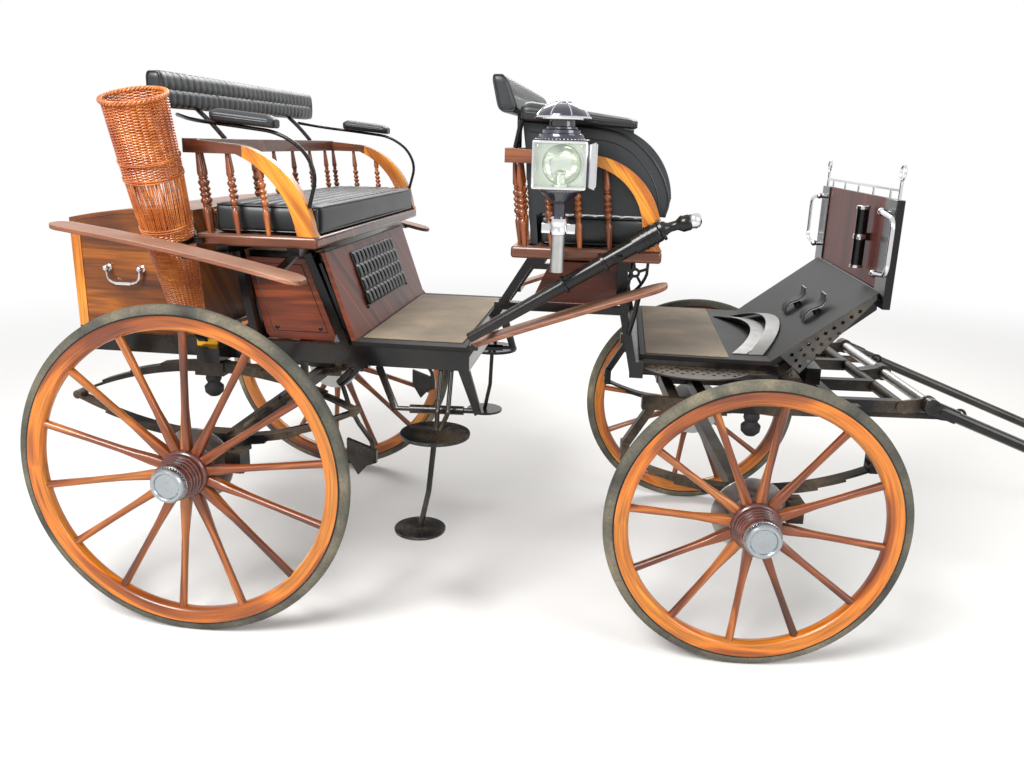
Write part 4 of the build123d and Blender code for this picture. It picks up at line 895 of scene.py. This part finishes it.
backPads = None
backSeams = bmesh.new()
for row in backRows:
    backPads = joined(backPads, pleatedPad(row))
    halfWidth, lowZ, highZ = row[:3]
    for side in (-1, 1):
        ring = [(backX(row, front, rise), side * (halfWidth - 0.005), lowZ + (highZ - lowZ) * rise)
                for front, rise in ringPath((0.06, 0.03), (0.94, 0.97), 0.2)]
        wires([ring], backLook["piping"], backSeams, 1, True)
finishSoft("pleated_backrests", backPads, "backrest_pads")
finishPiece("backrest_piping", backSeams, "piping")

armPadLook = {"piping": 0.0022, "seamShare": 0.42}
armPadRows = [
    # Rear and front x, height and thickness at the rear, height and thickness at the front, y, width
    (0.097, 0.299, 1.632, 0.040, 1.614, 0.038, 0.634, 0.074),
    (1.026, 1.363, 1.656, 0.058, 1.641, 0.031, 0.588, 0.080),
]


def armPad(rearX, frontX, rearZ, rearThick, frontZ, frontThick, y, width):
    # Pillow with a flat underside, a crowned top that falls to the front and rounded ends.
    bm, half, middle = softBox((rearX, y - width / 2, 0.0), (frontX, y + width / 2, 1.0), (48, 12, 10), 0.02)
    for vert in bm.verts:
        share = (vert.co.x / half[0] + 1) / 2
        level = clamp(vert.co.z + 0.5)
        bulge = max(0.0, 1 - (vert.co.y / half[1]) ** 2)
        roundEnd = math.sqrt(1 - 0.5 * (1 - inside(vert.co.x, half[0], 0.03)) ** 2)
        thick = (rearThick + (frontThick - rearThick) * share) * roundEnd
        soft = math.sin(level * math.pi / 2) ** 0.8 * (0.72 + 0.28 * bulge)
        spread = 0.74 + 0.26 * math.sin(math.pi * (level * 0.9 + 0.08)) ** 0.6
        rise = rearZ + (frontZ - rearZ) * share + thick * (0.12 * level + 0.88 * soft)
        vert.co = (vert.co.x + middle.x, vert.co.y * spread + y, rise)
    bmesh.ops.recalc_face_normals(bm, faces=bm.faces)
    return bm


def armSeam(rearX, frontX, rearZ, rearThick, frontZ, frontThick, y, width):
    rear = rearZ + rearThick * armPadLook["seamShare"]
    front = frontZ + frontThick * armPadLook["seamShare"]
    edge = ringPath((rearX + 0.002, y - width / 2 + 0.001), (frontX - 0.002, y + width / 2 - 0.001), 0.02)
    return [(x, spotY, rear + (front - rear) * (x - rearX) / (frontX - rearX)) for x, spotY in edge]


armPads = None
for row in armPadRows:
    armPads = joined(armPads, armPad(*row))
finishSoft("soft_arm_pads", bothSides(armPads), "arm_pads")
armSeams = wires([armSeam(*row) for row in armPadRows], armPadLook["piping"], None, 1, True)
finishPiece("arm_pad_piping", bothSides(armSeams), "piping")

# Arm irons in one sweep from behind the backrest to the seat, and the posts of the backrests
ironLook = {"sweepRadius": 0.006, "sweepBend": 0.20, "postRadius": 0.008}
armIron = [(-0.072, 0.522, 1.650), (0.020, 0.614, 1.634), (0.140, 0.634, 1.623), (0.300, 0.634, 1.605),
           (0.380, 0.634, 1.556), (0.416, 0.634, 1.482), (0.389, 0.634, 1.385)]
postPaths = [
    [(1.014, 0.614, 1.580), (1.030, 0.614, 1.658)],
    rounded([(0.025, 0.400, 1.580), (-0.020, 0.400, 1.630), (-0.066, 0.400, 1.671)], 0.03),
    [(0.999, 0.400, 1.580), (0.999, 0.400, 1.683)],
]
irons = wires([rounded(armIron, ironLook["sweepBend"], 8)], ironLook["sweepRadius"], None, 3)
wires(postPaths, ironLook["postRadius"], irons, 3)
finishPiece("swept_irons", bothSides(irons), "black", stands=("seat_irons",), smooth=60)

# The driver's leather tub, with a roll along its edge and a seam inside that
dressed("driver_seat_shell", "leather", 0.009, segments=3)
tubEdge = [(1.033, 1.652), (1.216, 1.644), (1.300, 1.634), (1.362, 1.608), (1.412, 1.562), (1.446, 1.512),
           (1.465, 1.462), (1.468, 1.430), (1.458, 1.398)]
tubMiddle = Vector((1.20, 1.42))
tubSeams = bmesh.new()
for inset, radius, y in ((0.0, 0.0042, 0.5895), (0.030, 0.0020, 0.5882)):
    inner = [Vector(spot) + (tubMiddle - Vector(spot)).normalized() * inset for spot in tubEdge]
    wires([rounded([(x, y, z) for x, z in inner], 0.03, 3)], radius, tubSeams, 1)
finishPiece("tub_piping", bothSides(tubSeams), "piping")

# Puffed oblongs on the rear seat's front board, drawn flat and then leaned onto it
riserLook = {"halfWidth": 0.270, "height": 0.196, "rows": 4, "columns": 12, "depth": 0.014,
             "seamDepth": 0.007, "below": 0.106}
riserFoot, riserHead = Vector((0.487, 0, 0.956)), Vector((0.389, 0, 1.215))
boardLine = (riserHead - riserFoot).normalized()
boardOut = Vector((boardLine.z, 0, -boardLine.x))
riserTurn = Matrix(((0, boardLine.x, boardOut.x, 0), (1, boardLine.y, boardOut.y, 0),
                    (0, boardLine.z, boardOut.z, 0), (0, 0, 0, 1)))
riserPlace = Matrix.Translation(riserHead - boardLine * riserLook["below"]) @ riserTurn


def riserQuilt():
    height, halfWidth = riserLook["height"], riserLook["halfWidth"]
    bm, half, middle = softBox((-halfWidth, -height / 2, 0), (halfWidth, height / 2, riserLook["depth"]),
                               (riserLook["columns"] * 6, riserLook["rows"] * 8, 2), 0.004)
    for vert in bm.verts:
        x, y, z = vert.co
        if z > 0:
            lift = puffed(y + half[1], height / riserLook["rows"]) ** 0.8
            lift *= puffed(x + half[0], 2 * halfWidth / riserLook["columns"]) ** 0.5
            z -= riserLook["seamDepth"] * (1 - lift)
        vert.co = (x, y, z + middle.z)
    return joined(None, bm, riserPlace)


finishSoft("riser_quilting", riserQuilt(), "riser_pad", 70)
riserStuds = bmesh.new()
for x in (-0.276, 0.276):
    for y in (-0.102, 0.102):
        upright([(0, 0), (0.006, 0), (0.006, 0.002), (0.003, 0.005), (0, 0.0055)], 10, riserStuds,
                riserPlace @ Matrix.Translation((x, y, -0.0006)))
finishPiece("riser_studs", riserStuds, "black")
print("leather made")

# Umbrella basket, drawn along Z from its foot, then leaned into place

basketLook = {"stakes": 30, "pitch": 0.0040, "strand": 0.0018, "weave": 0.0023, "openFrom": 0.44,
              "openTo": 0.655, "sticks": 92, "stick": 0.0017, "plait": 0.0042, "plaitTurns": 15,
              "band": 0.0022}
basketRadii = [(0.0, 0.0525), (0.36, 0.0750), (0.68, 0.0873), (1.0, 0.0930)]
basketBands = (0.432, 0.442, 0.658, 0.668, 0.735, 0.742)
basketFoot, basketTop = Vector((-0.043, -0.595, 1.035)), Vector((-0.060, -0.790, 1.696))
basketLength = (basketTop - basketFoot).length
basketPlace = onBody @ alongLine(basketFoot, basketTop)


def basketRadius(share):
    for (low, first), (high, second) in zip(basketRadii, basketRadii[1:]):
        if share <= high:
            return first + (second - first) * (share - low) / (high - low)
    return basketRadii[-1][1]


def weaveRow(z, phase):
    # One strand that passes before one stake and behind the next.
    base = basketRadius(z / basketLength) - 0.0040

    def spot(angle):
        swing = math.cos(0.5 * basketLook["stakes"] * angle + math.pi * phase)
        return base + basketLook["weave"] * swing, z + 0.0004 * math.sin(3 * angle + 5 * z)
    return roundPath(basketLook["stakes"] * 4, spot)


def basketWeave():
    paths = []
    for row in range(1, int(basketLength / basketLook["pitch"]) - 1):
        z = row * basketLook["pitch"]
        if not basketLook["openFrom"] < z / basketLength < basketLook["openTo"]:
            paths.append(weaveRow(z, row % 2))
    return wires(paths, basketLook["strand"], None, 0, True)


def stickPath(low, high, steps, angle, slant=0.0, bulge=0.0):
    path = []
    for step in range(steps + 1):
        part = step / steps
        share = low + (high - low) * part
        turn = angle + slant * (part - 0.5)
        radius = basketRadius(share) - 0.0034 + bulge * math.sin(math.pi * part)
        path.append((radius * math.cos(turn), radius * math.sin(turn), share * basketLength))
    return path


def basketSticks():
    # Upright stakes all the way and a thicket of slanting sticks across the open part.
    rng = random.Random(5)
    paths = [stickPath(0.01, 0.99, 8, 2 * math.pi * index / basketLook["stakes"])
             for index in range(basketLook["stakes"])]
    low, high = basketLook["openFrom"] - 0.02, basketLook["openTo"] + 0.02
    for index in range(basketLook["sticks"]):
        angle = 2 * math.pi * (index + rng.uniform(-0.3, 0.3)) / basketLook["sticks"]
        paths.append(stickPath(low, high, 4, angle, rng.uniform(-0.14, 0.14), 0.0010))
    return wires(paths, basketLook["stick"], None, 0)


def basketRim(bm):
    # Three stout strands plaited round the mouth, thin bands at the edges of the open part, and a foot plate.
    plait = basketLook["plait"]
    for strand in range(3):
        def spot(angle):
            wind = basketLook["plaitTurns"] * angle + 2 * math.pi * strand / 3
            radius = basketRadii[-1][1] - 0.002 + plait * math.cos(wind)
            return radius, basketLength - 0.004 + plait * math.sin(wind)
        wires([roundPath(180, spot)], 0.0036, bm, 1, True)
    for share in basketBands:
        band = roundPath(72, lambda angle: (basketRadius(share) - 0.0002, share * basketLength))
        wires([band], basketLook["band"], bm, 1, True)
    upright([(0, 0), (0.0505, 0), (0.0505, 0.008), (0, 0.008)], 48, bm)


def strandGrain(face, co):
    centre = face.calc_center_median()
    return (math.atan2(centre.y, centre.x) * 0.35, co.z * 60)


wicker = joined(basketWeave(), basketSticks())
basketRim(wicker)
mapGrain(wicker, wicker.faces, strandGrain)
finishPiece("woven_basket", wicker, "wicker", place=basketPlace, stands=("umbrella_basket",), smooth=60)
print("basket woven")

# Carriage lamps, drawn for the left side about their own upright axis and mirrored

lampLook = {"ribs": 8, "beads": 44, "beadRadius": 0.0026, "wall": 0.005, "frame": 0.0034, "rib": 0.0017}
lampPlace = Matrix.Translation((1.158, 0.740, 0))
lampHalf, lampLow, lampHigh = 0.074, 1.475, 1.602
lampMiddle = (lampLow + lampHigh) / 2
domeRows = [(0.0740, 1.668), (0.0700, 1.6755), (0.0620, 1.6845), (0.0500, 1.6925), (0.0360, 1.6995),
            (0.0255, 1.7030)]


def around(middle, half):
    return (middle - half, middle + half)


def boxes(rows, bevel=0.0, bm=None, segments=2):
    for row in rows:
        bm = boxed(*row, bevel, bm, segments)
    return bm


def lampCase():
    # Sheet walls on three sides, a stepped roof, a neck and a dome, with the stem below.
    across, tall = (-lampHalf, lampHalf), (lampLow, lampHigh)
    wall = lampLook["wall"]
    inner = wall - lampHalf
    bm = boxes([
        (across, across, (lampLow, lampLow + wall)),
        (across, across, (lampHigh - wall, lampHigh)),
        ((-lampHalf, inner), (-lampHalf, lampHalf - 0.004), tall),
        (across, (-lampHalf, inner), tall),
        ((-inner, lampHalf), around(-0.068, 0.006), tall),
        ((-inner, lampHalf), around(0.068, 0.006), tall),
    ], 0.001)
    roof = [(0, 0), (0.0725, 0), (0.0725, 0.004), (0.0660, 0.010), (0.0640, 0.018), (0.0560, 0.021),
            (0.0545, 0.029), (0.0450, 0.032), (0.0440, 0.037), (0.0370, 0.039), (0.0365, 0.054), (0, 0.054)]
    upright([(radius, lampHigh + rise) for radius, rise in roof], 48, bm)
    upright([(0, 1.655), (0.0700, 1.657), (0.0745, 1.662)] + domeRows + [(0, 1.7036)], 48, bm)
    stem = [(0, lampLow), (0.060, lampLow), (0.058, 1.468), (0.052, 1.462), (0.034, 1.444), (0.026, 1.436),
            (0.0185, 1.432), (0.0185, 1.388), (0, 1.388)]
    return upright(stem, 40, bm)


def lampTrim():
    # Polished parts: brim, ribs, top plate, pearled edges and the frame of the side glass.
    brim = [(0.0715, 1.6575), (0.0775, 1.6585), (0.0798, 1.6625), (0.0775, 1.6670), (0.0715, 1.6685)]
    bm = upright(brim, 56)
    rib = [(radius, 0, z + 0.0004) for radius, z in domeRows]
    for index in range(lampLook["ribs"]):
        wires([rib], lampLook["rib"], bm, 1, False, turned(360 * (index + 0.5) / lampLook["ribs"], "Z"))
    upright([(0, 1.7020), (0.0250, 1.7020), (0.0262, 1.7042), (0.0240, 1.7066), (0, 1.7080)], 32, bm)
    for radius, z in ((0.0735, lampHigh + 0.0045), (0.0565, lampLow - 0.0055)):
        for spot in roundPath(lampLook["beads"], lambda angle: (radius, z)):
            bmesh.ops.create_icosphere(bm, subdivisions=1, radius=lampLook["beadRadius"],
                                       matrix=Matrix.Translation(spot))
    edge = ringPath((-0.0715, lampLow + 0.0025), (0.0715, lampHigh - 0.0025), 0.003, 2)
    wires([[(x, lampHalf - 0.001, z) for x, z in edge]], lampLook["frame"], bm, 1, True)
    for x in (-0.059, 0.059):
        spun([(0, 0), (0.0032, 0), (0.0032, 0.002), (0, 0.003)], 8, bm=bm,
             place=Matrix.Translation((x, 0.0735, 1.589)))
    return bm


def lampHood():
    # The front glass stands in a frame that flares forward; rows are x, half width and half height.
    bm = bmesh.new()
    loops = []
    for x, halfY, halfZ in ((0.070, 0.060, 0.052), (0.0975, 0.070, 0.0625), (0.0975, 0.066, 0.0585),
                            (0.074, 0.057, 0.049)):
        ring = bmesh.ops.create_circle(bm, cap_ends=False, radius=1, segments=4)["verts"]
        for vert, (y, z) in zip(ring, ((-1, -1), (-1, 1), (1, 1), (1, -1))):
            vert.co = (x, y * halfY, lampMiddle + z * halfZ)
        loops.append([edge for edge in bm.edges if edge.verts[0] in ring and edge.verts[1] in ring])
    for first, second in zip(loops, loops[1:] + loops[:1]):
        bmesh.ops.bridge_loops(bm, edges=first + second)
    bmesh.ops.recalc_face_normals(bm, faces=bm.faces)
    return bm


def lampInside():
    # Bright bowl, the bright lining round it, and the burner.
    bowl = [(0, -0.058)]
    for step in range(7, -1, -1):
        angle = math.pi / 2 * step / 8
        bowl.append((0.0560 * math.cos(angle), -0.028 - 0.030 * math.sin(angle)))
    bm = spun(bowl + [(0.0585, -0.028), (0.0585, -0.062), (0, -0.062)], 48,
              place=Matrix.Translation((0, 0, lampMiddle)))
    tall = (lampLow + 0.005, lampHigh - 0.005)
    boxes([
        ((-0.069, 0.066), (-0.069, -0.0625), tall),
        ((-0.069, -0.0675), (-0.0625, 0.070), tall),
        ((-0.0675, 0.066), (-0.0625, 0.070), (tall[0], tall[0] + 0.0015)),
        ((-0.0675, 0.066), (-0.0625, 0.070), (tall[1] - 0.0015, tall[1])),
    ], 0, bm)
    burner = [(0, 1.481), (0.024, 1.481), (0.024, 1.485), (0.015, 1.488), (0.0135, 1.512), (0.0165, 1.514),
              (0.0165, 1.520), (0.009, 1.526), (0, 1.527)]
    return upright(burner, 28, bm)


def lampGlass():
    bm = boxed((-0.0690, 0.0690), (0.0700, 0.0722), (lampLow + 0.0055, lampHigh - 0.0055), 0.0006, None, 1)
    return boxed((0.0935, 0.0962), (-0.0655, 0.0655), around(lampMiddle, 0.058), 0.0012, bm, 1)


def lampClamp():
    # Polished collar that grips the stem in its tube, with an ear on each side.
    bm = upright([(0.0202, 1.346), (0.0236, 1.348), (0.0262, 1.358), (0.0232, 1.366), (0.0232, 1.372),
                  (0.0276, 1.382), (0.0268, 1.392), (0.0215, 1.398), (0.0187, 1.398), (0.0187, 1.3885),
                  (0.0202, 1.388)], 40)
    for side in (-1, 1):
        boxed(around(side * 0.0355, 0.0125), (-0.005, 0.005), (1.350, 1.378), 0.002, bm, 2)
        spun([(0, -0.008), (0.0045, -0.008), (0.0045, 0.008), (0, 0.008)], 6, bm=bm,
             place=Matrix.Translation((side * 0.039, 0, 1.364)))
    return bm


lampRows = [
    # Name, mesh, material, what it stands for
    ("lamp_cases", lampCase, "petal", "lamps"),
    ("lamp_trim", lampTrim, "chrome"),
    ("lamp_hoods", lampHood, "chrome"),
    ("lamp_reflectors", lampInside, "mirror"),
    ("lamp_glass", lampGlass, "glass"),
    ("lamp_clamps", lampClamp, "chrome"),
]
for name, maker, material, *stands in lampRows:
    finishPiece(name, bothSides(joined(None, maker(), lampPlace)), material, stands=stands, smooth=35)
print("lamps made")

# Stowed pole: collars and a grooved sleeve over the plain tube, and a polished ball

poleLook = {"collars": ((0.50, 0.0265), (0.70, 0.0300), (0.985, 0.0325)), "collarWidth": 0.012,
            "sleeveAt": 0.90, "sleeveRings": 3, "sleeveGap": 0.016, "sleeveWidth": 0.009}
poleFoot, poleNeck, poleTip = (0.896, -0.676, 1.018), (1.452, -0.676, 1.368), (1.538, -0.676, 1.396)
poleRun = (Vector(poleNeck) - Vector(poleFoot)).length
# Columns: distance from the foot, inner and outer radius, width
poleRings = [(share * poleRun, radius - 0.008, radius, poleLook["collarWidth"])
             for share, radius in poleLook["collars"]]
poleRings += [(poleLook["sleeveAt"] * poleRun + index * poleLook["sleeveGap"], 0.026, 0.0325,
               poleLook["sleeveWidth"]) for index in range(poleLook["sleeveRings"])]
poleIron = bmesh.new()
for start, inner, radius, width in poleRings:
    end = start + width
    profile = [(inner, start), (radius, start + 0.002), (radius, end - 0.002), (inner, end)]
    upright(profile, 28, poleIron, alongLine(poleFoot, poleNeck))
finishPiece("pole_rings", poleIron, "black")
ball = [(0, 0.072), (0.012, 0.074), (0.021, 0.082), (0.0242, 0.092), (0.021, 0.103), (0.012, 0.111),
        (0, 0.113)]
finishPiece("pole_ball", upright(ball, 24, None, alongLine(poleNeck, poleTip)), "chrome")

# Steps: raised bars across each round tread, inside a rim

treadLook = {"pitch": 0.018, "halfBar": 0.004, "rimGap": 0.006}
# Columns: x, y, top of the CAD tread, radius
treadRows = [(0.780, 0.620, 0.684, 0.112), (0.742, 0.670, 0.372, 0.082)]
treads = bmesh.new()
for x, y, top, radius in treadRows:
    low, high = top - 0.001, top + 0.004
    rim = [(radius - 0.004, low), (radius + 0.0010, low), (radius + 0.0010, high), (radius - 0.004, high)]
    upright(rim, 48, treads, Matrix.Translation((x, y, 0)))
    count = int(2 * radius / treadLook["pitch"])
    for index in range(count):
        offset = (index - (count - 1) / 2) * treadLook["pitch"]
        reach = math.sqrt(radius ** 2 - offset ** 2) - treadLook["rimGap"]
        boxed(around(x, reach), around(y + offset, treadLook["halfBar"]), (low, high), 0.0014, treads, 1)
finishPiece("step_treads", bothSides(treads), "stepIron")

# Bail handles on the rear box: two ball rosettes and a bow with a grip

handleLook = {"bow": 0.0042, "bend": 0.016}
boxSide = -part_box("rear_box")[0].y
rosette = [(0, -0.001), (0.011, -0.001), (0.011, 0.002), (0.006, 0.005), (0.006, 0.009), (0.0105, 0.014),
           (0.0115, 0.019), (0.0095, 0.025), (0.004, 0.029), (0, 0.0295)]
# Columns: x, distance from the box's side, height
bailRows = [(-0.378, 0.018, 1.146), (-0.372, 0.020, 1.108), (-0.344, 0.022, 1.100), (-0.292, 0.022, 1.100),
            (-0.264, 0.020, 1.108), (-0.258, 0.018, 1.146)]
handles = bmesh.new()
for x in (-0.378, -0.258):
    spun(rosette, 20, bm=handles, place=Matrix.Translation((x, boxSide, 1.150)))
bail = rounded([(x, boxSide + out, z) for x, out, z in bailRows], handleLook["bend"], 4)
wires([bail], handleLook["bow"], handles, 2)
spun([(0, -0.030), (0.0058, -0.028), (0.0062, 0), (0.0058, 0.028), (0, 0.030)], 14, (1, 0, 0), handles,
     Matrix.Translation((-0.318, boxSide + 0.022, 1.100)))
finishPiece("box_handles", bothSides(handles), "chrome")

# Curled rubber pedals with pale rims on the toe-board

pedalLook = {"width": 0.062, "steps": 8, "thick": 0.005, "rim": 0.0014,
             "spots": ((0.190, -0.030), (0.215, -0.255))}
toeStart = Vector((1.832, 0, 0.9455))
toePlace = Matrix.Translation(toeStart) @ Matrix.Rotation(-math.atan2(0.243, 0.3108), 4, "Y")
pedalCurl = [(-0.052, 0.006), (-0.040, 0.020), (-0.018, 0.025), (0.004, 0.019), (0.022, 0.016),
             (0.040, 0.024), (0.052, 0.042)]


def pedalSheet():
    bm = bmesh.new()
    line = [bm.verts.new((x, -pedalLook["width"] / 2, z)) for x, z in pedalCurl]
    edges = [bm.edges.new(pair) for pair in zip(line, line[1:])]
    for step in range(pedalLook["steps"]):
        made = bmesh.ops.extrude_edge_only(bm, edges=edges)["geom"]
        verts = [item for item in made if isinstance(item, bmesh.types.BMVert)]
        edges = [item for item in made if isinstance(item, bmesh.types.BMEdge)
                 and all(vert in verts for vert in item.verts)]
        bmesh.ops.translate(bm, verts=verts, vec=(0, pedalLook["width"] / pedalLook["steps"], 0))
    bmesh.ops.solidify(bm, geom=bm.faces[:], thickness=pedalLook["thick"])
    bmesh.ops.recalc_face_normals(bm, faces=bm.faces)
    return bm


pedals = bmesh.new()
pedalRims = bmesh.new()
for along, y in pedalLook["spots"]:
    place = toePlace @ Matrix.Translation((along, y, 0))
    joined(pedals, pedalSheet(), place)
    upright([(0, 0), (0.014, 0), (0.010, 0.018), (0, 0.018)], 16, pedals, place)
    rim = [(x, -0.032, z) for x, z in pedalCurl] + [(x, 0.032, z) for x, z in reversed(pedalCurl)]
    wires([[place @ Vector(point) for point in rim]], pedalLook["rim"], pedalRims, 1, True)
finishPiece("curled_pedals", pedals, "rubber")
finishPiece("pedal_rims", pedalRims, "brushed")

# The bowed heel bands; the plain pedals of the same node give way to the curled ones
bands = cadMesh("foot_controls")
plainPedals = [vert for vert in bands.verts if vert.co.x - rearAxleX > toeStart.x + 0.08]
bmesh.ops.delete(bands, geom=plainPedals, context="VERTS")
heelBands = finishPiece("heel_bands", bands, "band", place=None, stands=("foot_controls",), smooth=32)
softEdge(heelBands, 0.0008, 2, 30)

# Whip tube: bright rings at its ends and middle, and the knob of its arm

whipLook = {"rings": ((1.2295, 1.2400), (1.3230, 1.3400), (1.4180, 1.4305)), "arm": 0.0045}
whip = bmesh.new()
for low, high in whipLook["rings"]:
    upright([(0.0184, low), (0.0212, low + 0.001), (0.0216, (low + high) / 2), (0.0212, high - 0.001),
             (0.0184, high)], 32, whip, Matrix.Translation((2.110, -0.235, 0)))
wires([[(2.100, -0.250, 1.331), (2.096, -0.285, 1.331)]], whipLook["arm"], whip, 2)
knob = [(0, 0), (0.006, 0.001), (0.0095, 0.007), (0.0095, 0.013), (0.006, 0.018), (0, 0.0195)]
spun(knob, 16, (0, -1, 0), whip, Matrix.Translation((2.096, -0.283, 1.331)))
finishPiece("whip_rings", whip, "chrome")

# Amber reflectors on the sills
marks = boxed((-0.066, 0.005), (0.4995, 0.5120), (0.903, 0.929), 0.002)
finishPiece("side_reflectors", bothSides(marks), "reflector")

# Amber corner posts of the rear box
cornerPosts = boxed((-0.5035, -0.4700), (boxSide - 0.001, boxSide + 0.003), (0.945, 1.290), 0.001)
grainStraight(cornerPosts, "z")
finishPiece("box_corner_posts", bothSides(cornerPosts), "arm")

# Dark plates that close the riser's ends, and the gaps under the seat base and beside the quarter panels
fillers = bothSides(boxed((0.452, 0.4965), (-0.130, 0.098), (-0.030, -0.018), 0.001, None, 1, riserPlace))
boxes([
    ((0.372, 0.386), (-0.494, 0.494), (1.2340, 1.2625)),
    ((0.100, 0.385), (-0.434, -0.428), (0.925, 1.225)),
    ((0.100, 0.385), (0.428, 0.434), (0.925, 1.225)),
], 0.001, fillers)
finishPiece("riser_end_plates", fillers, "black")

# Inlay line and bolts on the quarter panels
inlayLook = {"face": 0.4602, "line": 0.0013, "bolts": ((0.200, 0.972), (0.352, 0.972)),
             "corners": ((0.122, 1.186), (0.292, 1.186), (0.376, 0.960), (0.186, 0.960))}
corners = [(x, inlayLook["face"], z) for x, z in inlayLook["corners"]]
inlay = wires([corners], inlayLook["line"], None, 1, True)
bolt = [(0, -0.001), (0.0070, -0.001), (0.0065, 0.0025), (0.0035, 0.0045), (0, 0.005)]
for x, z in inlayLook["bolts"]:
    spun(bolt, 12, bm=inlay, place=Matrix.Translation((x, inlayLook["face"], z)))
finishPiece("quarter_inlays", bothSides(inlay), "black")
print("fittings made")

# Studio: a pale floor that fades to white, a white world and three lights

studio = {"floor": (0.82, 0.81, 0.79), "world": 0.55, "fadeFrom": 3.2, "fadeTo": 8.0}
# Columns: name, place, target, size, power
lightRows = [
    ("keyLight", (-3.0, -4.5, 5.0), (-0.6, 0, 0.9), (2.5, 2.5), 470.0),
    ("fillLight", (4.0, -4.0, 3.5), (0, 0, 0.9), (3.0, 3.0), 170.0),
    ("backLight", (-1.0, 4.5, 4.5), (-0.6, 0, 0.9), (4.0, 2.0), 170.0),
]


def areaLight(name, place, target, size, power):
    data = bpy.data.lights.new(name, "AREA")
    data.energy = power
    data.shape = "RECTANGLE"
    data.size, data.size_y = size
    obj = bpy.data.objects.new(name, data)
    scene.collection.objects.link(obj)
    aim = (Vector(target) - Vector(place)).to_track_quat("-Z", "Y")
    obj.matrix_world = Matrix.Translation(place) @ aim.to_matrix().to_4x4()


def seenRay(tree):
    # 1 for what the camera sees straight on or mirrored in metal and glass.
    path = addNode(tree, "LightPath", {}).outputs
    mirror = compute(tree, "MAXIMUM", path["Is Glossy Ray"], path["Is Transmission Ray"])
    return compute(tree, "MAXIMUM", path["Is Camera Ray"], mirror)


def floorMaterial():
    material, tree, shader = newMaterial("studioFloor", Base_Color=(*studio["floor"], 1), Roughness=0.9)
    place = addNode(tree, "TexCoord", {}).outputs["Object"]
    length = addNode(tree, "VectorMath", {0: place}, operation="LENGTH").outputs["Value"]
    sockets = {"Value": length, "From Min": studio["fadeFrom"], "From Max": studio["fadeTo"]}
    fade = addNode(tree, "MapRange", sockets, interpolation_type="SMOOTHSTEP").outputs["Result"]
    white = addNode(tree, "Emission", {"Strength": 1.0}).outputs["Emission"]
    factor = compute(tree, "MULTIPLY", fade, seenRay(tree))
    mixer = addNode(tree, "MixShader", {0: factor, 1: shader.outputs["BSDF"], 2: white})
    tree.links.new(mixer.outputs["Shader"], tree.nodes["Material Output"].inputs["Surface"])
    return material


def buildStudio():
    bm = bmesh.new()
    bmesh.ops.create_grid(bm, x_segments=1, y_segments=1, size=60)
    mesh = bpy.data.meshes.new("studioFloor")
    bm.to_mesh(mesh)
    bm.free()
    mesh.materials.append(floorMaterial())
    floor = bpy.data.objects.new("studioFloor", mesh)
    scene.collection.objects.link(floor)
    world = bpy.data.worlds.new("studioWorld")
    world.use_nodes = True
    tree = world.node_tree
    strength = compute(tree, "MAXIMUM", seenRay(tree), studio["world"])
    setSockets(tree, tree.nodes["Background"], {"Color": (1, 1, 1, 1), "Strength": strength})
    scene.world = world
    for row in lightRows:
        areaLight(*row)


buildStudio()
scene.view_settings.view_transform = "Standard"
